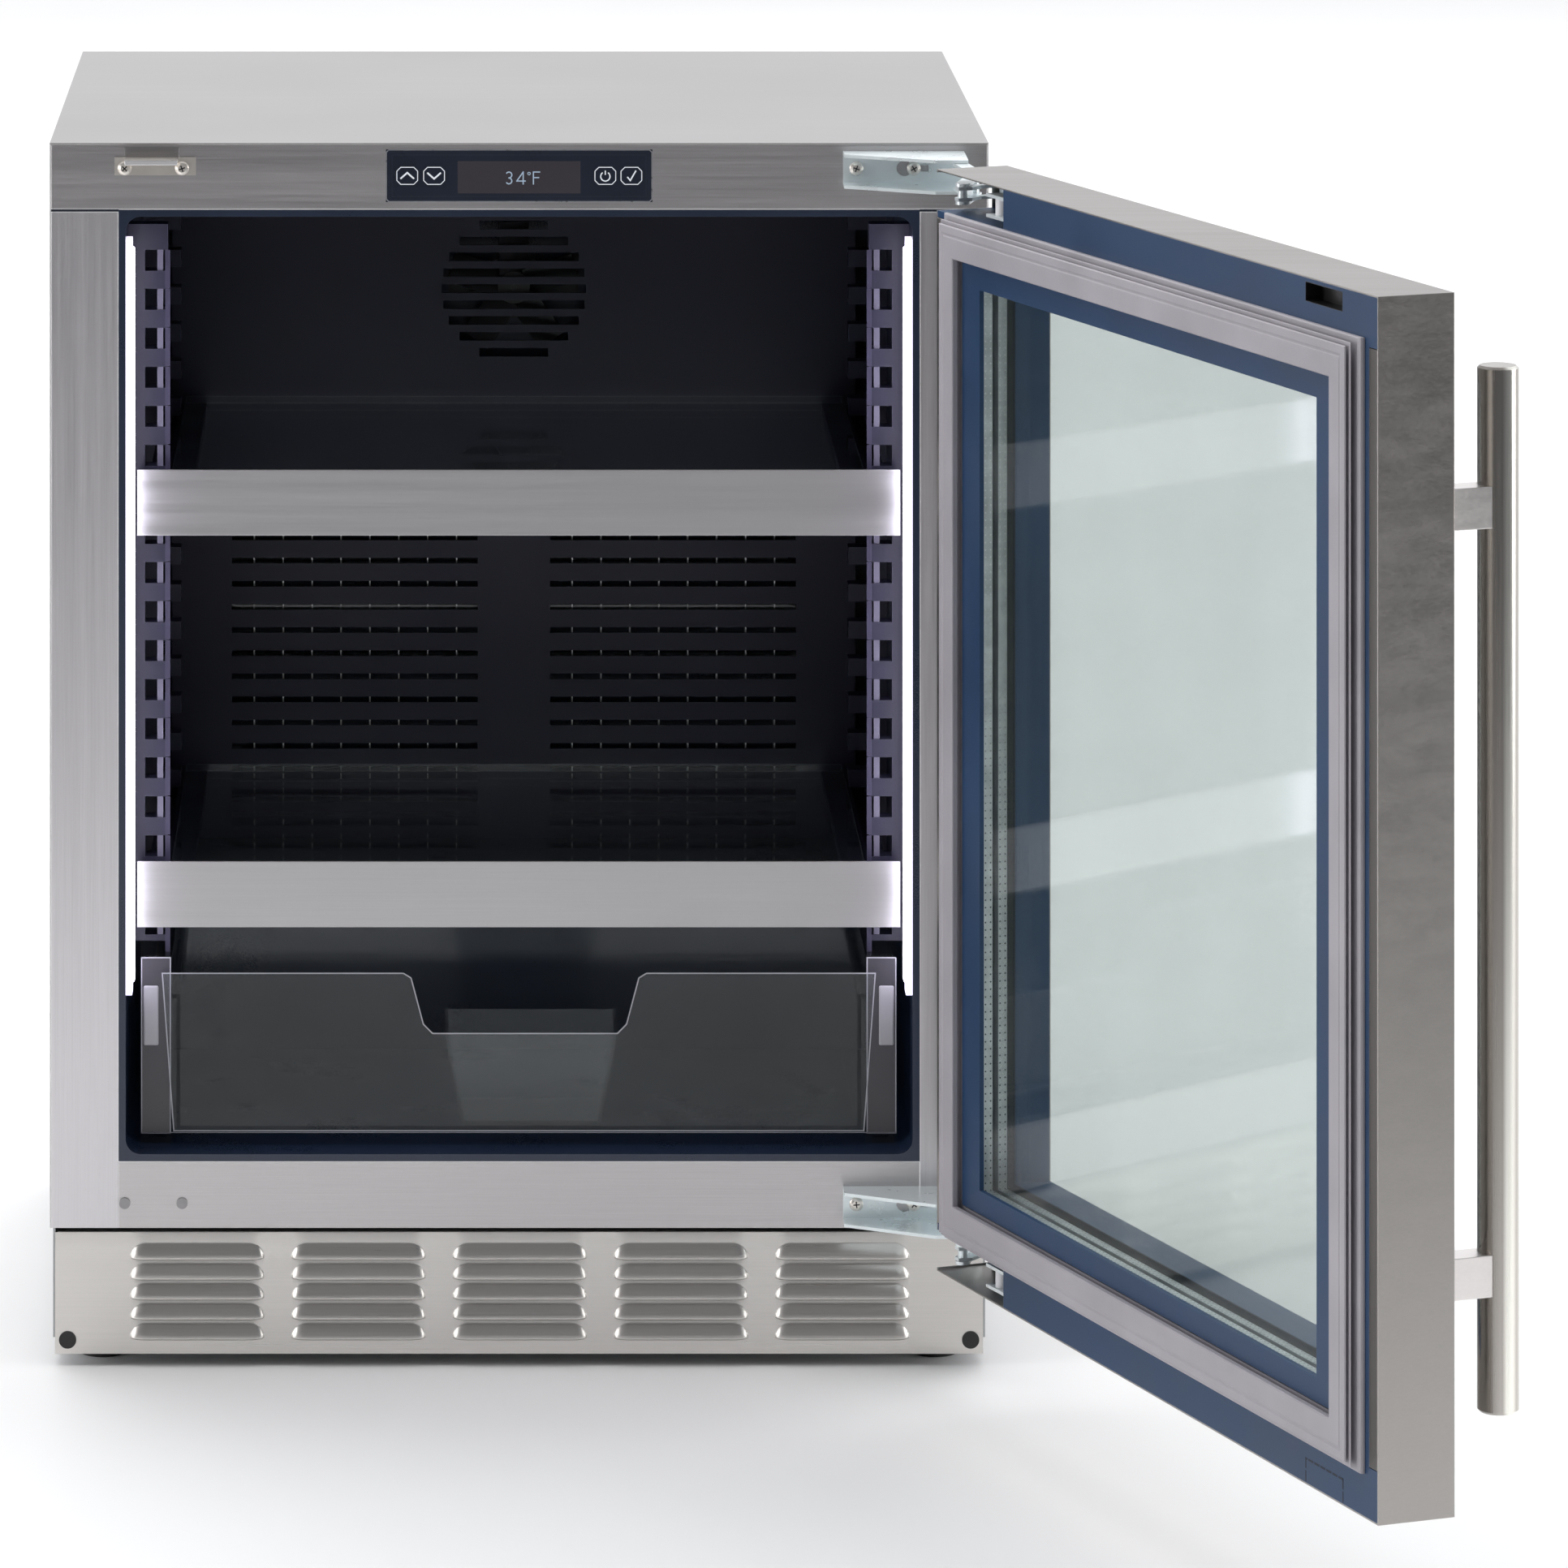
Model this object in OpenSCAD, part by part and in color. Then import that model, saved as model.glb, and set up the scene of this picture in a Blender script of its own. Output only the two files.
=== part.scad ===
// Undercounter refrigerator with a glass door, shown with the door open.
// Axes: +X to the right of a person facing the door, +Y to the back, +Z up.
// Origin: on the floor, at the middle of the width, in the plane of the cabinet's front face.

/* [Cabinet] */

// Overall width of the cabinet and of the door
cab_w = 606; // [590:1:640]
// Height from the floor to the top of the case
cab_h = 790; // [780:1:820]
// Depth of the case without the door
cab_d = 518; // [510:1:560]
// Height of the underside of the case above the floor
base_h = 90; // [88:1:96]
// Thickness of the stainless sheet
sheet = 1; // [0.8:0.1:1.2]
// Clear width of the cut-out in the face frame
open_w = 517; // [505:1:519]
// Height of the lower edge of the cut-out
open_z0 = 133; // [130:1:136]
// Height of the upper edge of the cut-out
open_z1 = 747; // [744:1:748]
// Wall thickness of the moulded liner
liner_t = 4.5; // [3:0.5:5]
// Outside depth of the liner
liner_d = 430; // [425:1:440]

/* [Door] */

// Angle the door stands open
door_open = 111; // [105:1:115]
// Thickness of the door without the gasket
door_t = 48.6; // [47:0.1:50]
// Height of the door
door_h = 696; // [690:1:698]
// Gap between the closed door and the face frame, filled by the gasket
door_gap = 10; // [9.5:0.1:11]
// Width of the door's border between its side edge and the window in its outer skin
door_border = 65; // [60:1:70]
// Outside diameter of the handle tube
handle_d = 24; // [20:1:26]
// Length of the handle tube
handle_l = 600; // [500:1:640]

/* [Interior] */

// Vertical pitch of the slots in the shelf posts
slot_pitch = 25.4; // [25:0.1:26]
// Slot that holds the lower shelf, counted from the bottom
lower_slot = 1; // [1:1:4]
// Slot that holds the upper shelf, counted from the bottom
upper_slot = 11; // [7:1:15]

/* [Hidden] */

$fn = 48;
eps = 1;
half_w = cab_w / 2;
mid_z = (cab_h + base_h) / 2;

// cut-out and liner cavity
open_x = open_w / 2;
cavity_x = open_x - liner_t;
cavity_z0 = open_z0 + liner_t;
cavity_z1 = open_z1 - liner_t;
cavity_d = liner_d - liner_t;
cavity_r = 10;
step_y = 300;
step_z = 250;

// compressor bay behind and below the liner's step
bay_y = 344;
bay_z = 205;

// base
tray_z = 18;
tray_t = 1.5;
kick_y = 4;
kick_z0 = 8;
kick_z1 = base_h - 3.5;
kick_x = half_w - 2;
louvre_w = 85;
louvre_h = 9.1;
louvre_out = 4.5;
louvre_pitch_x = 104.75;
louvre_pitch_z = 12.9;
louvre_z0 = 19.6;
plug_x = 291.5;
plug_z = 17;
foot_x = 270;
foot_front_y = 40;
foot_rear_y = 480;
foot_stem_r = 4;
running_gap = 0.05;

// control panel
panel_x = 86;
panel_z0 = 752;
panel_z1 = 786;
panel_mid_z = 769;
panel_lip = 2.1;
panel_out = 0.25;
display_x = 39.5;
display_h = 20.6;
display_z = 768;
key_x = [-72.2, -54.9, 55.6, 72.4];
key_w = 14.2;
key_h = 11.8;
key_out = 0.7;

// hinges and the holes they share with the catch and the plugs
hinge_dz = 334;
hinge_z = [mid_z + hinge_dz, mid_z - hinge_dz];
screw_x = [217.5, 254.5];
screw_r = 2;
screw_head_r = 4.5;
screw_head_h = 2.8;
screw_l = 14;
hinge_half_h = 11;
hinge_t = 2;
hinge_x0 = 209;
arm_l = 43;
arm_r = 4.5;
pin_r = 3;
level_1 = hinge_half_h - hinge_t;
arm_gap = 0.2;
arm_t = 2;

// pivots: base pivot on the cabinet, door pivot measured with the door closed
base_pivot = [half_w - 21, -door_gap - 33];
door_pivot_shut = [half_w - 17, -door_gap - 10];

// the inner corner of the door on its hinge side, shut and open
corner_shut = [half_w, -door_gap];
corner_open = [half_w - 40, -115];

function turned(v, a) = [v.x * cos(a) - v.y * sin(a), v.x * sin(a) + v.y * cos(a)];
function elbow_rise(p, q) = sqrt(arm_l * arm_l - pow(norm(q - p) / 2, 2));
function elbow(p, q) = (p + q) / 2 + turned(q - p, 90) / norm(q - p) * elbow_rise(p, q);
function heading(v) = atan2(v.y, v.x);

door_pivot_open = corner_open + turned(door_pivot_shut - corner_shut, door_open);
elbow_open = elbow(base_pivot, door_pivot_open);

// door build-up, measured from the face frame outwards
door_x = half_w;
door_z0 = mid_z - door_h / 2;
door_z1 = mid_z + door_h / 2;
door_in_y = -door_gap;
door_out_y = -door_gap - door_t;
door_skin_in_y = door_out_y + sheet;
flange_y = door_in_y - 4;
lip_y = door_in_y + 3;
glass_t = 4;
spacer_t = 6;
glass_pitch = glass_t + spacer_t;
unit_out_y = door_in_y - 2 * glass_pitch - glass_t;
window_x = half_w - door_border;
window_z0 = door_z0 + door_border + 2;
window_z1 = door_z1 - door_border - 2;
lip_cover = 6;
spacer_cover = 3;
spacer_w = 7;
unit_cover = 11;
pocket_cover = unit_cover + 0.5;
pocket_wall = 2;
notch_l = 100;
notch_h = 25;
tub_t = 1.5;
gasket_w = 23.5;
gasket_x = half_w - 20;
gasket_dz = door_h / 2 - 27.5;
handle_x = -half_w + 32;
handle_y = -door_gap - 93.3;
post_dz = 220;
post_w = 18;
post_h = 24;
return_w = 11;

// shelves
post_x = 228;
slot_z0 = 269.4;
slot_h = 13.7;
slots = 18;
shelf_post_y = [46, 330];
shelf_post_d = 16;
shelf_front_y = 28;
shelf_back_y = 385;
shelf_glass_t = 5;
trim_x = 247.5;
trim_h = 42.7;
trim_drop = 30.5;

// crisper
bin_x = 222;
bin_y0 = 24;
bin_y1 = 285;
bin_z0 = 147;
bin_z1 = 235;
bin_front_z1 = 249;
bin_t = 2.5;

// evaporator housing behind the rear cover
evap_x = 236;
evap_y = 396;
evap_z0 = 262;
evap_z1 = 738;
evap_fan_z = 640;
evap_fan_r = 54;

// condensing unit
cond_fan_x = 130;
cond_fan_y = 430;
cond_fan_z = 112;
cond_fan_r = 68;
comp_x = -175;
comp_y = 428;

// a box between two corners
module block(low, high) {
    translate(low)
        cube(high - low);
}

// a cylinder along +Y between two values of y
module rod_y(x, z, r, y0, y1) {
    translate([x, y1, z])
        rotate([90, 0, 0])
            cylinder(r = r, h = y1 - y0);
}

// a cylinder along +X between two values of x
module rod_x(y, z, r, x0, x1) {
    translate([x0, y, z])
        rotate([0, 90, 0])
            cylinder(r = r, h = x1 - x0);
}

// a cylinder along +Z between two heights
module rod_z(x, y, r, z0, z1) {
    translate([x, y, z0])
        cylinder(r = r, h = z1 - z0);
}

// both members of a left and right pair
module both_sides() {
    children();
    mirror([1, 0, 0])
        children();
}

// the upper and lower members of a pair set about the middle height
module both_ends() {
    children();
    translate([0, 0, 2 * mid_z])
        mirror([0, 0, 1])
            children();
}

// a frame between an outer and an inner rectangle, y0 to y1
module frame_ring(x_out, z_out0, z_out1, x_in, z_in0, z_in1, y0, y1) {
    difference() {
        block([-x_out, y0, z_out0], [x_out, y1, z_out1]);
        block([-x_in, y0 - eps, z_in0], [x_in, y1 + eps, z_in1]);
    }
}

// puts a piece drawn for the closed door at the open angle
module on_open_door() {
    translate([door_pivot_open.x, door_pivot_open.y, 0])
        rotate([0, 0, door_open])
            translate([-door_pivot_shut.x, -door_pivot_shut.y, 0])
                children();
}

// screw holes at the four hinge corners
module corner_screw_holes(y0, y1) {
    for (z = hinge_z)
        for (x = screw_x)
            both_sides()
                rod_y(x, z, screw_r + running_gap, y0, y1);
}

// ---- cabinet ----

module outer_case() {
    color("#c6c3c1")
    difference() {
        block([-half_w, 0, base_h], [half_w, cab_d, cab_h]);
        block([-half_w + sheet, -eps, base_h - eps], [half_w - sheet, cab_d + eps, cab_h - sheet]);
    }
}

module top_fascia() {
    color("#8b888a")
    difference() {
        block([-half_w + sheet, 0, open_z1], [half_w - sheet, sheet, cab_h - sheet]);
        block([-panel_x + 2, -eps, panel_z0 + 1.5], [panel_x - 2, sheet + eps, panel_z1 - 1.5]);
        corner_screw_holes(-eps, sheet + eps);
    }
}

module face_stiles() {
    color("#a3a0a3")
    both_sides()
        block([open_x, 0, base_h], [half_w - sheet, sheet, open_z1]);
}

module bottom_rail() {
    color("#a3a0a3")
    difference() {
        block([-open_x, 0, base_h], [open_x, sheet, open_z0]);
        corner_screw_holes(-eps, sheet + eps);
    }
}

// the liner's outside, with the step that clears the compressor bay
module liner_outside() {
    difference() {
        block([-open_x, 0, open_z0], [open_x, liner_d, open_z1]);
        block([-open_x - eps, step_y, open_z0 - eps], [open_x + eps, liner_d + eps, step_z]);
    }
}

module cavity_section() {
    for (x = [-1, 1])
        for (z = [cavity_z0 + cavity_r, cavity_z1 - cavity_r])
            translate([x * (cavity_x - cavity_r), z])
                circle(r = cavity_r);
    translate([-cavity_x, cavity_z0 + cavity_r])
        square([2 * cavity_x, cavity_z1 - cavity_z0 - 2 * cavity_r]);
    translate([-cavity_x + cavity_r, cavity_z0])
        square([2 * (cavity_x - cavity_r), cavity_z1 - cavity_z0]);
}

module inner_liner() {
    color("#24365a")
    difference() {
        liner_outside();
        difference() {
            translate([0, cavity_d, 0])
                rotate([90, 0, 0])
                    linear_extrude(cavity_d + eps)
                        cavity_section();
            block([-open_x, step_y - liner_t, 0], [open_x, liner_d, step_z + liner_t]);
        }
    }
}

module cabinet_insulation() {
    color("#e5d9a8")
    difference() {
        block([-half_w + sheet, sheet, base_h + sheet], [half_w - sheet, cab_d - sheet, cab_h - sheet]);
        liner_outside();
        block([-half_w, bay_y, 0], [half_w, cab_d, bay_z]);
        block([-panel_x + 2, 0, panel_z0 + 1.5], [panel_x - 2, 16, panel_z1 - 1.5]);
        corner_screw_holes(0, screw_l);
    }
}

module back_panel() {
    color("#9b9c9e")
    difference() {
        block([-half_w + sheet, cab_d - sheet, base_h], [half_w - sheet, cab_d, cab_h - sheet]);
        for (row = [0:7])
            for (x = [-210, -20, 170])
                block([x - 70, cab_d - 2, 104 + 12 * row], [x + 70, cab_d + eps, 109 + 12 * row]);
        rod_y(262, 150, 5.5, cab_d - 2, cab_d + eps);
    }
}

module underside_sheet() {
    color("#a8a9ab")
    union() {
        block([-half_w + sheet, sheet, base_h], [half_w - sheet, bay_y + sheet, base_h + sheet]);
        block([-half_w + sheet, bay_y, base_h], [half_w - sheet, bay_y + sheet, bay_z]);
        block([-half_w + sheet, bay_y, bay_z - sheet], [half_w - sheet, cab_d - sheet, bay_z]);
    }
}

module base_tray() {
    color("#8f9092")
    difference() {
        union() {
            block([-kick_x, 6, tray_z], [kick_x, cab_d - 2, tray_z + tray_t]);
            both_sides()
                block([kick_x - tray_t, 6, tray_z], [kick_x, cab_d - 2, base_h]);
            block([-kick_x, cab_d - 2 - tray_t, tray_z], [kick_x, cab_d - 2, base_h]);
            for (y = [foot_front_y, foot_rear_y])
                both_sides()
                    rod_z(foot_x, y, 9, tray_z, tray_z + 16);
        }
        for (y = [foot_front_y, foot_rear_y])
            both_sides()
                rod_z(foot_x, y, foot_stem_r + running_gap, 0, base_h);
    }
}

// one hooded slot of the kick plate, open along its lower edge
module louvre_hood() {
    rotate([90, 0, 90])
        linear_extrude(louvre_w, center = true)
            polygon([
                [0, louvre_h], [-0.36 * louvre_out, 0.93 * louvre_h], [-0.68 * louvre_out, 0.75 * louvre_h],
                [-0.92 * louvre_out, 0.42 * louvre_h], [-louvre_out, 0], [-louvre_out + 0.8, 0],
                [-0.92 * louvre_out + 0.8, 0.36 * louvre_h], [-0.6 * louvre_out + 0.6, 0.62 * louvre_h],
                [0, 0.8 * louvre_h]
            ]);
    for (side = [-1, 1])
        translate([side * (louvre_w / 2 - 0.4), 0, 0])
            rotate([90, 0, 90])
                linear_extrude(0.8, center = true)
                    polygon([
                        [0, louvre_h], [-0.36 * louvre_out, 0.93 * louvre_h], [-0.68 * louvre_out, 0.75 * louvre_h],
                        [-0.92 * louvre_out, 0.42 * louvre_h], [-louvre_out, 0], [0, 0]
                    ]);
}

module kick_plate() {
    color("#bdb8b4")
    difference() {
        union() {
            block([-kick_x, kick_y, kick_z0], [kick_x, kick_y + sheet, kick_z1]);
            block([-kick_x + 3, kick_y, kick_z1 - sheet], [kick_x - 3, kick_y + 12, kick_z1]);
            for (column = [-2:2])
                for (row = [0:4])
                    translate([column * louvre_pitch_x, kick_y, louvre_z0 + row * louvre_pitch_z])
                        louvre_hood();
        }
        for (column = [-2:2])
            for (row = [0:4])
                translate([column * louvre_pitch_x, 0, louvre_z0 + row * louvre_pitch_z])
                    block(
                        [-louvre_w / 2 + 0.8, kick_y, 0],
                        [louvre_w / 2 - 0.8, kick_y + sheet + eps, 0.7 * louvre_h]
                    );
        both_sides()
            rod_y(plug_x, plug_z, 4, kick_y - eps, kick_y + sheet + eps);
    }
}

module kick_plate_plugs() {
    color("#1b1a1c")
    both_sides()
        union() {
            rod_y(plug_x, plug_z, 5.6, kick_y - 1.6, kick_y);
            rod_y(plug_x, plug_z, 4, kick_y - 0.8, kick_y + 1.8);
        }
}

module levelling_foot(x, y) {
    color("#3a3a3c")
    translate([x, y, 0])
        rotate_extrude()
            polygon([
                [0, 0], [15, 0], [17, 2], [17, 6], [13, 10], [7, 10], [7, 14], [foot_stem_r, 14],
                [foot_stem_r, 60], [0, 60]
            ]);
}

module front_left_foot() {
    levelling_foot(-foot_x, foot_front_y);
}

module front_right_foot() {
    levelling_foot(foot_x, foot_front_y);
}

module rear_left_foot() {
    levelling_foot(-foot_x, foot_rear_y);
}

module rear_right_foot() {
    levelling_foot(foot_x, foot_rear_y);
}

// ---- control panel ----

// an eight-sided key outline
module key_outline(grow) {
    a = key_w / 2 + grow;
    b = key_h / 2 + grow;
    c = 3.5;
    polygon([
        [-a, -b + c], [-a + c, -b], [a - c, -b], [a, -b + c], [a, b - c], [a - c, b], [-a + c, b], [-a, b - c]
    ]);
}

module key_prism(x, grow, y0, y1) {
    translate([x, y1, panel_mid_z])
        rotate([90, 0, 0])
            linear_extrude(y1 - y0)
                key_outline(grow);
}

module control_bezel() {
    color("#1d2636")
    difference() {
        union() {
            block([-panel_x, -panel_out, panel_z0], [panel_x, 0, panel_z1]);
            block([-panel_x + panel_lip, 0, panel_z0 + 1.6], [panel_x - panel_lip, 12, panel_z1 - 1.6]);
        }
        block([-panel_x + 4, 0, panel_z0 + 3.5], [panel_x - 4, 12 + eps, panel_z1 - 3.5]);
        block(
            [-display_x, -2, display_z - display_h / 2],
            [display_x, 1, display_z + display_h / 2]
        );
        for (x = key_x)
            key_prism(x, 0.2, -2, 1);
    }
}

module display_window() {
    color("#3f3b42")
    union() {
        block(
            [-display_x + 0.1, -panel_out, display_z - display_h / 2 + 0.1],
            [display_x - 0.1, 0, display_z + display_h / 2 - 0.1]
        );
        block(
            [-display_x - 1.5, 0, display_z - display_h / 2 - 1.5],
            [display_x + 1.5, 1.2, display_z + display_h / 2 + 1.5]
        );
    }
}

module control_board() {
    color("#2f6b45")
    union() {
        block([-79, 5, 757], [79, 6.6, 781]);
        block([-60, 6.6, 762], [-20, 10.5, 776]);
        block([10, 6.6, 760], [28, 11, 778]);
    }
}

module control_key(x) {
    color("#232d3f")
    union() {
        key_prism(x, 0, -key_out, 1.2);
        rod_y(x, panel_mid_z, 2, 1.2, 3.9);
    }
}

module up_key() {
    control_key(key_x[0]);
}

module down_key() {
    control_key(key_x[1]);
}

module power_key() {
    control_key(key_x[2]);
}

module confirm_key() {
    control_key(key_x[3]);
}

// ---- catch, plugs and screws ----

module catch_bracket() {
    z = hinge_z[0];
    color("#b9b3a6")
    difference() {
        union() {
            block([-screw_x[1] - 6.5, -1.5, z - 4.6], [-screw_x[0] + 9, 0, z + 7]);
            block([-254, -16, z + 5.5], [-220, -1.5, z + 7]);
            block([-254, -17.5, z + 3.8], [-220, -16, z + 7]);
        }
        corner_screw_holes(-2, 1);
    }
}

module hole_plugs() {
    color("#b7b5b6")
    for (x = screw_x)
        union() {
            rod_y(-x, hinge_z[1], 3.6, -1.2, 0);
            rod_y(-x, hinge_z[1], screw_r, -0.6, 6);
        }
}

// a pan-head screw seated at depth y
module pan_screw(x, z, y) {
    union() {
        rod_y(x, z, screw_r, y - 1, screw_l - 1);
        translate([x, y, z])
            rotate([90, 0, 0])
                rotate_extrude()
                    polygon([
                        [0, 0], [screw_head_r, 0], [screw_head_r, 1], [screw_head_r - 0.8, 2.1],
                        [screw_head_r - 2, screw_head_h], [0, screw_head_h]
                    ]);
    }
}

module fixing_screws() {
    color("#c9c6c0")
    union() {
        for (x = screw_x) {
            pan_screw(-x, hinge_z[0], -1.5);
            pan_screw(x, hinge_z[0], -hinge_t);
            pan_screw(x, hinge_z[1], -hinge_t);
        }
    }
}

// ---- lights and shelf posts ----

module led_channels() {
    color("#d8dade")
    both_sides()
        difference() {
            block([cavity_x - 4, 5, 239], [cavity_x, 21, 727]);
            block([cavity_x - 4 - eps, 7, 241], [cavity_x - 1.5, 19, 725]);
        }
}

module led_diffusers() {
    color("#ffffff")
    both_sides()
        block([cavity_x - 4.5, 7, 241], [cavity_x - 1.5, 19, 725]);
}

module shelf_posts() {
    color("#3b3a52")
    both_sides()
        for (y = shelf_post_y)
            difference() {
                block(
                    [post_x, y, slot_z0 - 4],
                    [cavity_x, y + shelf_post_d, slot_z0 + slots * slot_pitch + 5]
                );
                for (k = [0:slots - 1])
                    block(
                        [post_x - eps, y - eps, slot_z0 + k * slot_pitch],
                        [post_x + 15, y + shelf_post_d + eps, slot_z0 + k * slot_pitch + slot_h]
                    );
            }
}

// ---- shelves, drawn for the slot they hang in ----

function slot_z(k) = slot_z0 + k * slot_pitch;

module shelf_glass(k) {
    z = slot_z(k) + slot_h;
    color("#bcd3d0", 0.5)
    block([-226, shelf_front_y + 3, z], [226, shelf_back_y, z + shelf_glass_t]);
}

module shelf_trim(k) {
    z = slot_z(k) + slot_h;
    color("#b3b0b0")
    union() {
        block([-trim_x, shelf_front_y, z - trim_drop], [trim_x, shelf_front_y + 1.5, z - trim_drop + trim_h]);
        block([-trim_x, shelf_front_y, z - trim_drop], [trim_x, shelf_front_y + 10, z - trim_drop + 1.5]);
        block(
            [-trim_x, shelf_front_y, z + shelf_glass_t],
            [trim_x, shelf_front_y + 13, z + shelf_glass_t + 1.5]
        );
        block([-208, shelf_front_y, z - 1.5], [208, shelf_front_y + 13, z]);
    }
}

module shelf_runners(k) {
    z = slot_z(k);
    color("#2a2c3c")
    both_sides()
        difference() {
            union() {
                block([212, 46, z + 6], [post_x - 1, shelf_back_y, z + slot_h]);
                block([post_x - 2, 46, z + 0.5], [post_x + 13.5, shelf_back_y, z + slot_h - 0.7]);
            }
            block([post_x + 2, 70, z + 2.5], [post_x + 11, shelf_back_y - 10, z + slot_h]);
        }
}

module upper_shelf_glass() {
    shelf_glass(upper_slot);
}

module upper_shelf_trim() {
    shelf_trim(upper_slot);
}

module upper_shelf_runners() {
    shelf_runners(upper_slot);
}

module lower_shelf_glass() {
    shelf_glass(lower_slot);
}

module lower_shelf_trim() {
    shelf_trim(lower_slot);
}

module lower_shelf_runners() {
    shelf_runners(lower_slot);
}

// ---- crisper ----

module crisper_runners() {
    color("#c9d2d8", 0.5)
    both_sides()
        difference() {
            block([bin_x + 3, 30, cavity_z0], [243.5, 290, 259]);
            block([bin_x + 2, 29, 228], [bin_x + 12, 291, 240]);
            block([bin_x + 7, 29, cavity_z0 + 4], [240, 291, 222]);
            block([bin_x + 7, 29, 244], [240, 291, 255]);
        }
}

module crisper_bin() {
    color("#d5dde2", 0.45)
    union() {
        translate([0, bin_y0 + bin_t, 0])
            rotate([90, 0, 0])
                linear_extrude(bin_t)
                    polygon([
                        [-224, bin_z0], [224, bin_z0], [231.5, bin_front_z1], [83, bin_front_z1], [78, 246],
                        [70, 216], [64, 210], [-56, 210], [-62, 216], [-70, 246], [-75, bin_front_z1],
                        [-231.5, bin_front_z1]
                    ]);
        difference() {
            block([-bin_x, bin_y0 + bin_t, bin_z0], [bin_x, bin_y1, bin_z1]);
            block(
                [-bin_x + bin_t, bin_y0 + bin_t, bin_z0 + bin_t],
                [bin_x - bin_t, bin_y1 - bin_t, bin_z1 + eps]
            );
        }
        both_sides()
            block([bin_x - bin_t, bin_y0 + bin_t, bin_z1 - 3], [bin_x + 9, bin_y1, bin_z1]);
    }
}

module crisper_cup() {
    cup_x = 8;
    cup_z0 = bin_z0 + bin_t;
    color("#e2e8ea", 0.45)
    difference() {
        translate([cup_x, 100, 0])
            rotate([90, 0, 0])
                linear_extrude(70)
                    polygon([[-45, cup_z0], [45, cup_z0], [56, 209], [-56, 209]]);
        translate([cup_x, 98, 0])
            rotate([90, 0, 0])
                linear_extrude(66)
                    polygon([[-43, cup_z0 + 2], [43, cup_z0 + 2], [54, 210], [-54, 210]]);
    }
}

// ---- evaporator ----

module evaporator_cover() {
    color("#2b2a45")
    difference() {
        block([-evap_x, evap_y, evap_z0], [evap_x, cavity_d, evap_z1]);
        block([-evap_x + 2, evap_y + 2, evap_z0 + 2], [evap_x - 2, cavity_d + eps, evap_z1 - 2]);
        for (row = [0:13])
            for (x = [-110, 110])
                block([x - 85, evap_y - eps, 290 + 16 * row], [x + 85, evap_y + 3, 294 + 16 * row]);
        for (row = [-4:4])
            block(
                [-sqrt(50 * 50 - 121 * row * row), evap_y - eps, evap_fan_z + 11 * row - 3],
                [sqrt(50 * 50 - 121 * row * row), evap_y + 3, evap_fan_z + 11 * row + 3]
            );
    }
}

// straight passes of tube joined by return bends, along X, stacked in z
module tube_bank(x0, x1, y, z0, pitch, passes, r) {
    for (k = [0:passes - 1])
        rod_x(y, z0 + k * pitch, r, x0, x1);
    for (k = [0:passes - 2])
        translate([k % 2 == 0 ? x1 : x0, y, z0 + (k + 0.5) * pitch])
            rotate([90, k % 2 == 0 ? 90 : -90, 0])
                rotate_extrude(angle = 180)
                    translate([pitch / 2, 0])
                        circle(r = r);
}

// a stack of plate fins with holes for the tubes
module fin_stack(x0, x1, step, y0, y1, z0, z1, tube_y, tube_z0, pitch, passes, r) {
    for (x = [x0:step:x1])
        difference() {
            block([x, y0, z0], [x + 0.8, y1, z1]);
            for (k = [0:passes - 1])
                rod_x(tube_y, tube_z0 + k * pitch, r + running_gap, x - eps, x + 2);
        }
}

module evaporator_coil() {
    color("#c3c6c9")
    union() {
        tube_bank(-190, 190, 412, 310, 36, 5, 4);
        fin_stack(-180, 180, 20, 402, 422, 294, 470, 412, 310, 36, 5, 4);
    }
}

module fan_motor(x, y, z, reach) {
    union() {
        rod_y(x, z, 22, y, y + 14);
        rod_y(x, z, 2, y - reach, y + 1);
    }
}

module fan_motors() {
    color("#303133")
    union() {
        fan_motor(0, 410, evap_fan_z, 9);
        block([-45, 422, evap_fan_z - 8], [45, cavity_d, evap_fan_z + 8]);
        fan_motor(cond_fan_x, cond_fan_y + 12, cond_fan_z, 10);
        for (a = [0, 120, 240])
            translate([cond_fan_x, cond_fan_y + 26, cond_fan_z])
                rotate([0, a, 0])
                    block([-4, -4, 15], [4, 0, cond_fan_r + 11.5]);
    }
}

// hub and pitched blades turning about +Y
module fan_wheel(x, y, z, r, depth, blades) {
    translate([x, y, z])
        difference() {
            union() {
                rod_y(0, 0, 11, 0, depth);
                for (k = [0:blades - 1])
                    rotate([0, k * 360 / blades, 0])
                        translate([0, depth / 2, 9])
                            rotate([0, 0, 22])
                                block([-0.24 * r, -0.7, 0], [0.24 * r, 0.7, r - 10]);
            }
            rod_y(0, 0, 2 + running_gap, -eps, depth + eps);
        }
}

module evaporator_fan() {
    color("#1f2022")
    fan_wheel(0, 401, evap_fan_z, evap_fan_r - 8, 7, 5);
}

module condenser_fan() {
    color("#1f2022")
    fan_wheel(cond_fan_x, cond_fan_y, cond_fan_z, cond_fan_r, 9, 5);
}

// ---- condensing unit ----

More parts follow.
